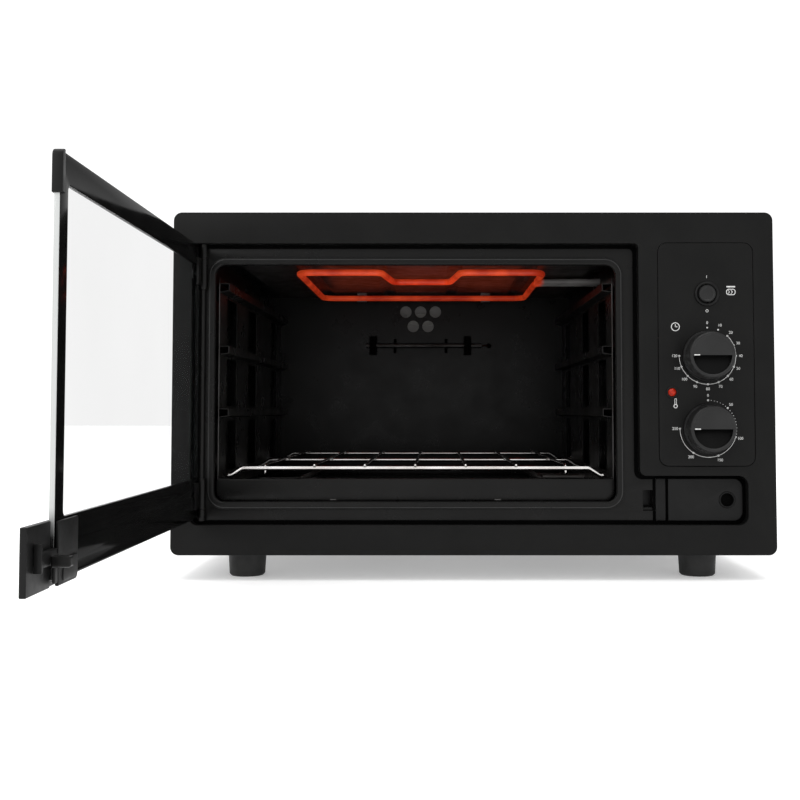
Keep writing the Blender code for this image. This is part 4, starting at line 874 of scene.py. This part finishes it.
# the button's on bar and off ring
signInk += [inkBar(knobX, buttonZ + 0.0165, 0.0004, 0.0026), inkRing(knobX, buttonZ - 0.0165, 0.0014, 0.0004)]
addPiece("timerScale", mergeMeshes(timerInk), white, "housing", "control_print")
addPiece("heatScale", mergeMeshes(heatInk), white, "housing", "control_print")
addPiece("panelSigns", mergeMeshes(signInk), white, "housing", "control_print")
print("print made")

# door: drawn shut, then swung open with its body
glassLow, glassHigh = spanOf("door_glass")
gripLow, gripHigh = spanOf("handle_grip")
capLow, capHigh = spanOf("door_corner_cap")
hingeDepth = hingeSpot.y - frontY


def shutX(y):
    # where a point of the open door lies across the front when the door is shut
    return hingeSpot.x + hingeSpot.y - y


def shutDepth(x):
    return x - hingeSpot.x + hingeDepth


door = {
    "corner": 0.004, "edge": 0.0005, "skin": 0.0001, "rimStrip": 0.0011, "windowLeft": 0.0050,
    "windowRight": 0.0170, "windowLow": 0.038, "windowTop": 0.019, "windowCorner": 0.0045,
    "screwIn": 0.011, "screwTop": 0.0276, "screwLow": 0.0236, "screwHole": 0.0036,
    "gripHoleIn": 0.0275, "gripHoleApart": 0.012, "gripHole": 0.0030,
}
doorThick = glassHigh.x - glassLow.x
doorLeft, doorRight = shutX(glassHigh.y), shutX(glassLow.y)
doorBottom, doorTop = glassLow.z, glassHigh.z
windowX = (doorLeft + door["windowLeft"], doorRight - door["windowRight"])
windowZ = (doorBottom + door["windowLow"], doorTop - door["windowTop"])
screwX = doorLeft + door["screwIn"]
screwLevels = (doorTop - door["screwTop"], doorBottom + door["screwLow"])
gripMiddle = (gripLow.z + gripHigh.z) / 2
gripHoleX = doorRight - door["gripHoleIn"]
printRight = doorRight - door["rimStrip"]
printOutline = roundBox((doorLeft, printRight), (doorBottom, doorTop), door["corner"])
windowOutline = roundBox(windowX, windowZ, door["windowCorner"])
screwHoles = [ringLine(screwX, z, door["screwHole"], 24) for z in screwLevels]
screwHoles += [ringLine(gripHoleX, gripMiddle + side * door["gripHoleApart"], door["gripHole"], 24)
               for side in (-1, 1)]
addPiece("doorPrint", doorPlate([printOutline, windowOutline] + screwHoles,
                                (door["skin"], doorThick - door["skin"]), door["edge"], 3),
         blackPrint, "door", "door_glass", "door_glass")
paneX, paneZ = ((span[0] + door["skin"], span[1] - door["skin"]) for span in (windowX, windowZ))
addPiece("doorPane", doorPlate([roundBox(paneX, paneZ, door["windowCorner"])],
                               (2 * door["skin"], doorThick - 2 * door["skin"]), door["skin"], 1),
         glass, "door", "door_glass")


def glassEdgeReflection():
    # painted reflection: the glass edge is painted bright beside the window and nearly black beside the print
    kit = startFinish("glassEdgeReflection", (0.3, 0.32, 0.31), 0.12)
    apart = kit["nodes"].new("ShaderNodeSeparateXYZ")
    kit["links"].new(kit["place"], apart.inputs["Vector"])
    span = kit["nodes"].new("ShaderNodeMapRange")
    span.inputs["From Min"].default_value = doorBottom
    span.inputs["From Max"].default_value = doorTop
    kit["links"].new(apart.outputs["Z"], span.inputs["Value"])
    dark, pale = (0.008, 0.008, 0.008), (0.46, 0.47, 0.465)
    stops = [(0.10, dark), (0.17, pale), (0.90, pale), (0.94, dark)]
    kit["links"].new(ramp(kit, span.outputs["Result"], stops), kit["shader"].inputs["Base Color"])
    roughen(kit, noise(kit, 300, 4), 0.08, 0.22)
    bump(kit, noise(kit, 700, 2), 0.1, 0.00005)
    return kit["material"]


freeEdge = {"gap": 0.00005, "inner": 0.0009, "outer": 0.0018, "corner": 0.001, "edge": 0.0003}
stripX = printRight + freeEdge["gap"]
edgeOutline = roundCorners([
    (stripX, doorBottom + freeEdge["inner"], 0),
    (doorRight, doorBottom + freeEdge["outer"], freeEdge["corner"]),
    (doorRight, doorTop - freeEdge["outer"], freeEdge["corner"]),
    (stripX, doorTop - freeEdge["inner"], 0)])
addPiece("doorFreeEdge", doorPlate([edgeOutline], (door["skin"], doorThick - door["skin"]),
                                   freeEdge["edge"], 2),
         glassEdgeReflection(), "door", "door_glass")

# the corner cap is a block less the room that the glass takes
cap = {"corner": 0.0008, "outerCorner": 0.0045, "edge": 0.0007, "gap": 0.0003,
       "glassCorner": 0.0037, "past": 0.01}
capX = (shutX(capHigh.y), shutX(capLow.y))
capOutline = roundCorners([
    (capX[0], capLow.z, cap["corner"]), (capX[1], capLow.z, cap["corner"]),
    (capX[1], capHigh.z, cap["outerCorner"]), (capX[0], capHigh.z, cap["corner"])])
roomX = (capX[0] - cap["past"], doorRight + cap["gap"])
roomZ = (capLow.z - cap["past"], doorTop + cap["gap"])
roomOutline = roundCorners([
    (roomX[0], roomZ[0], 0), (roomX[1], roomZ[0], 0), (roomX[1], roomZ[1], cap["glassCorner"]),
    (roomX[0], roomZ[1], 0)])
capBlock = doorPlate([capOutline], (shutDepth(capLow.x), shutDepth(capHigh.x)), cap["edge"], 3)
capRoom = doorPlate([roomOutline], (-cap["gap"], doorThick + cap["gap"]), 0, 0)
addPiece("cornerCap", solidOp(capBlock, [capRoom], "DIFFERENCE"),
         plastic, "door", "black_plastic", "door_corner_cap")


def doorBlock(x, depth, z, edge=0.0005, edgeSteps=2):
    low = (x[0], behind(depth[0]), z[0])
    return blockMesh(low, (x[1], behind(depth[1]), z[1]), edge, edgeSteps, doorSwing)


handle = {"outer": -0.0028, "inner": 0.0016, "nose": 0.0014, "edge": 0.0007, "gap": 0.0003, "sheet": 0.0022,
          "past": 0.0006}
gripLeft, gripRight = shutX(gripHigh.y), shutX(gripLow.y)
stepX = doorRight + handle["past"]
gripPlan = roundCorners([
    (gripLeft, behind(handle["outer"]), 0.0006), (gripRight, behind(handle["outer"]), handle["nose"]),
    (gripRight, behind(handle["inner"]), 0.0006), (stepX, behind(handle["inner"]), 0.0003),
    (stepX, behind(-handle["gap"]), 0.0003), (gripLeft, behind(-handle["gap"]), 0.0004)])
addPiece("gripPlate", plateMesh([gripPlan], gripHigh.z - gripLow.z, handle["edge"],
                                doorSwing @ Matrix.Translation((0, 0, gripMiddle)), 3),
         plastic, "door", "black_plastic", "handle_grip")

# the clamp's places are measured from the door's free edge and the grip's middle or its two ends
clamp = {
    "plateRight": 0.0015, "plateLow": 0.0008, "plateTop": 0.0002, "plateCorner": 0.004,
    "padLeft": 0.004, "padRight": (0.0075, 0.0115), "padLow": 0.0028, "padTop": 0.003, "padRise": 0.0008,
    "armRight": 0.0305, "armZ": (-0.0049, 0.0041), "hookX": (-0.0025, 0.0032), "hookTop": 0.001,
    "endX": (0.0285, 0.0309), "endZ": (-0.0075, 0.0095), "finX": (0.0230, 0.0288), "finZ": (0.0038, 0.0092),
}
clampFace = doorThick + handle["gap"]
clampTop = clampFace + handle["sheet"]
armBack = handle["inner"] + handle["gap"]
plateX = (gripLeft, doorRight - clamp["plateRight"])
plateZ = (gripLow.z + clamp["plateLow"], gripHigh.z - clamp["plateTop"])
padX = [gripLeft + clamp["padLeft"]] + [doorRight - inward for inward in clamp["padRight"]]
padZ = (gripLow.z + clamp["padLow"], gripMiddle - clamp["padTop"])
armX = (stepX + handle["gap"], doorRight + clamp["armRight"])
hookX = (doorRight + clamp["hookX"][0], stepX + clamp["hookX"][1])
endX, finX = ([doorRight + x for x in clamp[span]] for span in ("endX", "finX"))
armZ, endZ, finZ = ([gripMiddle + z for z in clamp[span]] for span in ("armZ", "endZ", "finZ"))
clampParts = [
    doorPlate([roundCorners([
        (plateX[0], plateZ[0], clamp["plateCorner"]), (plateX[1], plateZ[0], 0.001),
        (plateX[1], plateZ[1], 0.001), (plateX[0], plateZ[1], 0.0015)])], (clampFace, clampTop), 0.0007, 3),
    doorPlate([roundCorners([
        (padX[0], padZ[0], 0.004), (padX[1], padZ[0], 0.003), (padX[2], padZ[1], 0.001),
        (padX[0], padZ[1], 0.001)])], (clampTop - 0.001, clampTop + clamp["padRise"]), 0.0006, 3),
    doorBlock(armX, (armBack, clampTop), armZ),
    doorBlock(hookX, (clampFace, clampTop - 0.0003), (padZ[0], gripMiddle + clamp["hookTop"]), 0.0009, 3),
    doorBlock(endX, (armBack, clampTop + clamp["padRise"]), endZ, 0.0004),
    doorPlate([roundCorners([
        (finX[0], finZ[0], 0.0003), (finX[1], finZ[0], 0.0003), (finX[1], finZ[1], 0.0003)])],
        (armBack, clampTop - 0.0004), 0.0003, 2),
]
addPiece("clampArm", mergeMeshes(clampParts), plastic, "door", "black_plastic", "handle_clamp")


def crossHead(centre, radius, height, direction, depth=0.0):
    # a domed screw head with a cross cut in it
    head = turnedMesh([
        (0, height, 0), (radius * 0.55, height * 0.86, radius * 0.3), (radius, height * 0.25, radius * 0.1),
        (radius, -depth, 0), (0, -depth, 0)], centre, direction, 40)
    axis = Vector(direction).normalized()
    turn = Vector((0, 0, 1)).rotation_difference(axis).to_matrix().to_4x4()
    place = Matrix.Translation(Vector(centre) + axis * height) @ turn
    arm, width, deep = radius * 0.55, radius * 0.10, height * 0.55
    cuts = [blockMesh((-arm, -width, -deep), (arm, width, deep), 0, matrix=place),
            blockMesh((-width, -arm, -deep), (width, arm, deep), 0, matrix=place)]
    return solidOp(head, cuts, "DIFFERENCE")


hingeScrew = {"head": 0.0068, "rise": 0.0020, "lift": 0.0003, "shank": 0.0025,
              "length": 0.0055, "lap": 0.0004}
for end, z in zip(("Upper", "Lower"), screwLevels):
    centre = doorSwing @ Vector((screwX, frontY, z))
    head = crossHead(centre, hingeScrew["head"], hingeScrew["rise"], (-1, 0, 0), -hingeScrew["lift"])
    shank = turnedMesh([
        (0, hingeScrew["lap"], 0), (hingeScrew["shank"], hingeScrew["lap"], 0),
        (hingeScrew["shank"], -hingeScrew["length"], 0.0002), (0, -hingeScrew["length"], 0)],
        centre, (-1, 0, 0), 32)
    addPiece("hingeScrew" + end, mergeMeshes([head, shank]), plastic, "door", "black_plastic",
             "hinge_screw_" + end.lower())
for end in ("upper", "lower"):
    low, high = spanOf("handle_screw_" + end)
    length = high.x - low.x
    addPiece("gripScrew" + end.capitalize(), turnedMesh(
        [(0, 0, 0), (0.0018, 0, 0.0002), (0.0020, -0.0004, 0.0002), (0.0020, -length, 0), (0, -length, 0)],
        (high.x, (low.y + high.y) / 2, (low.z + high.z) / 2), (1, 0, 0), 32),
        zinc, "door", "zinc_steel", "handle_screw_" + end)
print("door made")

# oven chamber
shelfLow, shelfHigh = spanOf("wire_shelf")
trayLow, trayHigh = spanOf("crumb_tray")
linerLow = spanOf("side_liner_left")[0]
linerRightLow, linerRightHigh = spanOf("side_liner_right")
cavityLow, cavityHigh = spanOf("cavity_liner")
cavityX = (cavityLow.x + cavityHigh.x) / 2

shelf = {
    "wire": 0.00225, "bar": 0.0015, "rise": 0.0071, "front": 0.0035, "back": 0.029, "middle": 0.48,
    "end": 0.005, "shoulder": 0.016, "railBend": 0.006, "bars": 7, "sink": 0.0008, "aside": 0.0005,
    "reach": 0.0352, "nose": 0.0065, "noseDrop": 0.010, "noseBend": 0.0035,
}


def makeShelf():
    wire, bar = shelf["wire"], shelf["bar"]
    rail = shelfLow.z + wire
    level = rail + shelf["rise"]
    half = (shelfHigh.x - shelfLow.x) / 2
    shoulder, end, soft = half - shelf["shoulder"], half - shelf["end"], shelf["railBend"]
    frontLine, backLine = shelfLow.y + shelf["front"], shelfHigh.y - shelf["back"]
    tubes = []
    for share in (0, shelf["middle"], 1):
        y = frontLine + share * (backLine - frontLine)
        corners = [(-half, rail, 0), (-end, rail, soft), (-shoulder, level, soft),
                   (shoulder, level, soft), (end, rail, soft), (half, rail, 0)]
        line = roundCorners(corners, 6, closed=False)
        tubes.append(tubeMesh([(cavityX + p.x, y, p.y) for p in line], wire))
    top = level + wire + bar - shelf["sink"]
    sideBars = (shelf["bars"] - 1) / 2
    pitch = (linerRightLow.x - cavityX - shelf["reach"]) / sideBars
    bend = frontLine + shelf["nose"]
    for i in range(shelf["bars"]):
        x = cavityX - shelf["aside"] + (i - sideBars) * pitch
        line = [(x, frontLine - shelf["front"], top), (x, shelfHigh.y, top)]
        if i in (0, shelf["bars"] - 1):
            # the outer bars turn down behind the front rail
            corners = [(bend, top - shelf["noseDrop"], 0), (bend, top, shelf["noseBend"]),
                       (shelfHigh.y, top, 0)]
            line = [(x, p.x, p.y) for p in roundCorners(corners, 8, closed=False)]
        tubes.append(tubeMesh(line, bar, 6))
    return mergeMeshes(tubes)


addPiece("grillShelf", makeShelf(), chrome, "shelf", "chrome", "wire_shelf")

tray = {
    "inset": 0.006, "wall": 0.0008, "side": 0.0072, "start": 0.001, "face": (0.0002, 0.0012),
    "faceEdge": 0.00045, "footCorner": 0.0085, "topCorner": 0.002, "roll": 0.0009, "rollInset": 0.003,
    "rollDrop": 0.0010, "tabApart": 0.080, "tabHalf": 0.003, "tabDepth": (-0.0003, 0.0004),
    "tabZ": (0.0002, 0.0014),
}
trayFace = [trayLow.y - frontY + depth for depth in tray["face"]]
trayOutline = roundCorners([
    (trayLow.x, trayLow.z, tray["footCorner"]), (trayHigh.x, trayLow.z, tray["footCorner"]),
    (trayHigh.x, trayHigh.z, tray["topCorner"]), (trayLow.x, trayHigh.z, tray["topCorner"])])
rollEnds = [(x, trayLow.y + tray["rollDrop"], trayHigh.z - tray["rollDrop"])
            for x in (trayLow.x + tray["rollInset"], trayHigh.x - tray["rollInset"])]
panX = (trayLow.x + tray["inset"], trayHigh.x - tray["inset"])
panY = (trayLow.y + tray["start"], trayHigh.y)


def panSheet(x, y, height, edge=0.0003, edgeSteps=2):
    return blockMesh((x[0], y[0], trayLow.z), (x[1], y[1], trayLow.z + height), edge, edgeSteps)


addPiece("trayPan", mergeMeshes([
    frontPlate([trayOutline], trayFace, tray["faceEdge"], 3),
    tubeMesh(rollEnds, tray["roll"], 5),
    panSheet(panX, panY, tray["wall"], 0.0002, 1),
    panSheet((panX[0], panX[0] + tray["wall"]), panY, tray["side"]),
    panSheet((panX[1] - tray["wall"], panX[1]), panY, tray["side"]),
    panSheet(panX, (panY[1] - tray["wall"], panY[1]), tray["side"]),
]), enamel, "tray", "black_enamel", "crumb_tray")
tabY, tabZ = [trayLow.y + y for y in tray["tabDepth"]], [trayLow.z + z for z in tray["tabZ"]]
trayTabs = [blockMesh((x - tray["tabHalf"], tabY[0], tabZ[0]), (x + tray["tabHalf"], tabY[1], tabZ[1]),
                      0.0002)
            for x in (cavityX - tray["tabApart"], cavityX + tray["tabApart"])]
addPiece("trayTabs", mergeMeshes(trayTabs), darkMetal, "tray", "black_enamel")

# the front edges of the slotted wall panels catch the light
linerEdge = {"width": 0.0010, "depth": (-0.0012, -0.0001), "height": 0.2090, "edge": 0.0002}
edgeY = [linerLow.y + depth for depth in linerEdge["depth"]]
edgeTop = linerLow.z + linerEdge["height"]
for name, x in (("linerEdgeLeft", linerLow.x), ("linerEdgeRight", linerRightHigh.x - linerEdge["width"])):
    addPiece(name, blockMesh((x, edgeY[0], linerLow.z), (x + linerEdge["width"], edgeY[1], edgeTop),
                             linerEdge["edge"]),
             darkMetal, "housing", "zinc_steel")

# both loops run from two leads at the right; the upper one has a jog in its front run
heater = {"aside": 0.004, "leads": (0.185, 0.205), "leadBend": 0.007, "bend": 0.016, "jogDepth": 0.090,
          "jogHalf": (0.042, 0.032), "jogBend": 0.010, "coldEnd": 0.077, "glow": 0.42}


def elementMesh(node, jog):
    low, high = spanOf(node)
    radius, z = (high.z - low.z) / 2, (low.z + high.z) / 2
    middle, bend = cavityX + heater["aside"], heater["bend"]
    left, nearest, back = low.x + radius, low.y + radius, high.y - radius
    right = 2 * middle - left
    leads = [behind(depth) for depth in heater["leads"]]
    route = [(high.x, leads[1], 0), (right, leads[1], heater["leadBend"]), (right, back, bend),
             (left, back, bend), (left, nearest, bend)]
    if jog:
        wide, narrow = heater["jogHalf"]
        jogLine = [(-wide, 0), (-narrow, heater["jogDepth"]), (narrow, heater["jogDepth"]), (wide, 0)]
        route += [(middle + x, nearest + y, heater["jogBend"]) for x, y in jogLine]
    route += [(right, nearest, bend), (right, leads[0], heater["leadBend"]), (high.x, leads[0], 0)]
    line = [(p.x, p.y, z) for p in roundCorners(route, 8, closed=False)]
    return tubeMesh(line, radius, 7, roundEnds=False)


heaterLow, heaterHigh = spanOf("upper_element")
glowEnd = heaterHigh.x - heater["coldEnd"]
addPiece("upperHeater", elementMesh("upper_element", True),
         glowingTube("glowingTube", glowEnd, heater["glow"]), "housing", "heating_tube", "upper_element")
addPiece("lowerHeater", elementMesh("lower_element", False),
         darkMetal, "housing", "heating_tube", "lower_element")
print("chamber made")

# feet, cover and back
for end in ("front", "rear"):
    for side in ("left", "right"):
        low, high = spanOf(f"foot_{end}_{side}")
        radius, top = (high.x - low.x) / 2, high.z - 0.006
        addPiece(f"{end}Foot{side.capitalize()}", turnedMesh([
            (0, high.z, 0), (0.004, high.z, 0.0003), (0.004, top, 0), (radius, top, 0.001),
            (radius, top - 0.004, 0.001), (radius - 0.001, 0.002, 0.0006), (radius - 0.003, 0, 0.001),
            (radius - 0.006, 0, 0.0008), (radius - 0.008, 0.002, 0.0008), (0, 0.002, 0)],
            ((low.x + high.x) / 2, (low.y + high.y) / 2, 0), (0, 0, 1), 64),
            rubber, "housing", "rubber", f"foot_{end}_{side}")

coverLow, coverHigh = spanOf("outer_cover")
rearLow, rearHigh = spanOf("rear_cover")
backScrew = {"inset": 0.012, "top": 0.014, "levels": (0.0952, 0.2452), "off": 0.0015, "head": 0.0036,
             "rise": 0.0018}
rearSheet = coverHigh.y + backScrew["off"]
backLeft, backRight = rearLow.x + backScrew["inset"], rearHigh.x - backScrew["inset"]
backPlaces = [(x, z) for x in (backLeft, (backLeft + backRight) / 2, backRight)
              for z in (rearLow.z + backScrew["inset"], rearHigh.z - backScrew["top"])]
backPlaces += [(backLeft, rearLow.z + level) for level in backScrew["levels"]]
addPiece("backScrews", mergeMeshes([
    crossHead((x, rearSheet, z), backScrew["head"], backScrew["rise"], (0, 1, 0)) for x, z in backPlaces]),
    zinc, "housing", "zinc_steel")

sideScrew = {"off": 0.0012, "inset": 0.040, "up": 0.014, "head": 0.0034, "rise": 0.0016}
addPiece("coverScrews", mergeMeshes([
    crossHead((x - side * sideScrew["off"], y, coverLow.z + sideScrew["up"]), sideScrew["head"],
              sideScrew["rise"], (side, 0, 0))
    for x, side in ((coverLow.x, -1), (coverHigh.x, 1))
    for y in (coverLow.y + sideScrew["inset"], coverHigh.y - sideScrew["inset"])]),
    zinc, "housing", "zinc_steel")

# each rib of the gland is (radius, height)
gland = {"ribs": ((0.0110, 0.0066), (0.0096, 0.0090), (0.0085, 0.0112)), "seat": 0.012, "wide": 0.0010,
         "thick": 0.0014, "clear": 0.0001}
glandLow, glandHigh = spanOf("cord_gland")
glandSeat = ((glandLow.x + glandHigh.x) / 2, glandHigh.y - gland["seat"], (glandLow.z + glandHigh.z) / 2)
ribs = []
for radius, height in gland["ribs"]:
    inner, outer = radius + gland["clear"], radius + gland["clear"] + gland["wide"]
    ribs.append(turnedMesh([
        (inner, height, 0.0002), (outer, height - 0.0002, 0.0003),
        (outer, height - gland["thick"] + 0.0002, 0.0003), (inner, height - gland["thick"], 0.0002)],
        glandSeat, (0, 1, 0), 48))
addPiece("glandRibs", mergeMeshes(ribs), rubber, "housing", "rubber")
print("feet and back made")


# room
def stageFloor():
    kit = startFinish("whiteFloor", (0.9, 0.9, 0.9), 0.6, sheen=0.2)
    tint(kit, noise(kit, 0.6, 2), (0.895, 0.895, 0.895), (0.905, 0.905, 0.905))
    kit["shader"].inputs["Emission Color"].default_value = (1, 1, 1, 1)
    kit["shader"].inputs["Emission Strength"].default_value = 0.26
    mesh = bpy.data.meshes.new("studioFloor")
    shape = bmesh.new()
    bmesh.ops.create_grid(shape, x_segments=1, y_segments=1, size=12)
    shape.to_mesh(mesh)
    shape.free()
    mesh.materials.append(kit["material"])
    floor = bpy.data.objects.new("studioFloor", mesh)
    bpy.context.scene.collection.objects.link(floor)
    floor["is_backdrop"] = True


def softLight(name, place, target, size, energy, colour=(1, 1, 1)):
    data = bpy.data.lights.new(name, "AREA")
    data.color = colour
    data.shape = "RECTANGLE"
    data.size, data.size_y = size
    data.energy = energy
    lamp = bpy.data.objects.new(name, data)
    lamp.location = place
    lamp.rotation_euler = (Vector(target) - Vector(place)).to_track_quat("-Z", "Y").to_euler()
    bpy.context.scene.collection.objects.link(lamp)


stageFloor()
room = bpy.data.worlds.new("whiteRoom")
room.use_nodes = True
room.node_tree.nodes["Background"].inputs["Color"].default_value = (1, 1, 1, 1)
room.node_tree.nodes["Background"].inputs["Strength"].default_value = 1.15
bpy.context.scene.world = room
softLight("overhead", (0, -0.2, 2.2), (0, 0, 0), (2.4, 2.0), 26)
softLight("leftFront", (-1.6, -2.0, 1.3), (0, 0, 0.2), (1.2, 1.2), 14)

# the red light that the upper heater throws on the ceiling plate
redGlow = {"below": 0.004, "size": (0.22, 0.22), "energy": 0.05, "colour": (1.0, 0.11, 0.03)}
glowSpot = Vector(((heaterLow.x + glowEnd) / 2, (heaterLow.y + heaterHigh.y) / 2,
                   heaterLow.z - redGlow["below"]))
softLight("heaterGlow", glowSpot, glowSpot + Vector((0, 0, 1)), redGlow["size"], redGlow["energy"],
          redGlow["colour"])

view = {"lens": 52.0, "x": -0.036, "distance": 1.111, "z": 0.1617, "pitch": 2.9, "shift": (-0.045, -0.059)}
camera = bpy.data.objects.new("portrait", bpy.data.cameras.new("portrait"))
camera.data.lens = view["lens"]
camera.data.sensor_width = 36
camera.data.shift_x, camera.data.shift_y = view["shift"]
camera.location = (view["x"], frontY - view["distance"], view["z"])
camera.rotation_euler = (math.radians(90 + view["pitch"]), 0, 0)
bpy.context.scene.collection.objects.link(camera)
bpy.context.scene.camera = camera
bpy.context.scene.view_settings.view_transform = "Standard"
print("room lit")

low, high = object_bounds()
{"cad": [list(cadBounds[0]), list(cadBounds[1])], "visual": [list(low), list(high)]}
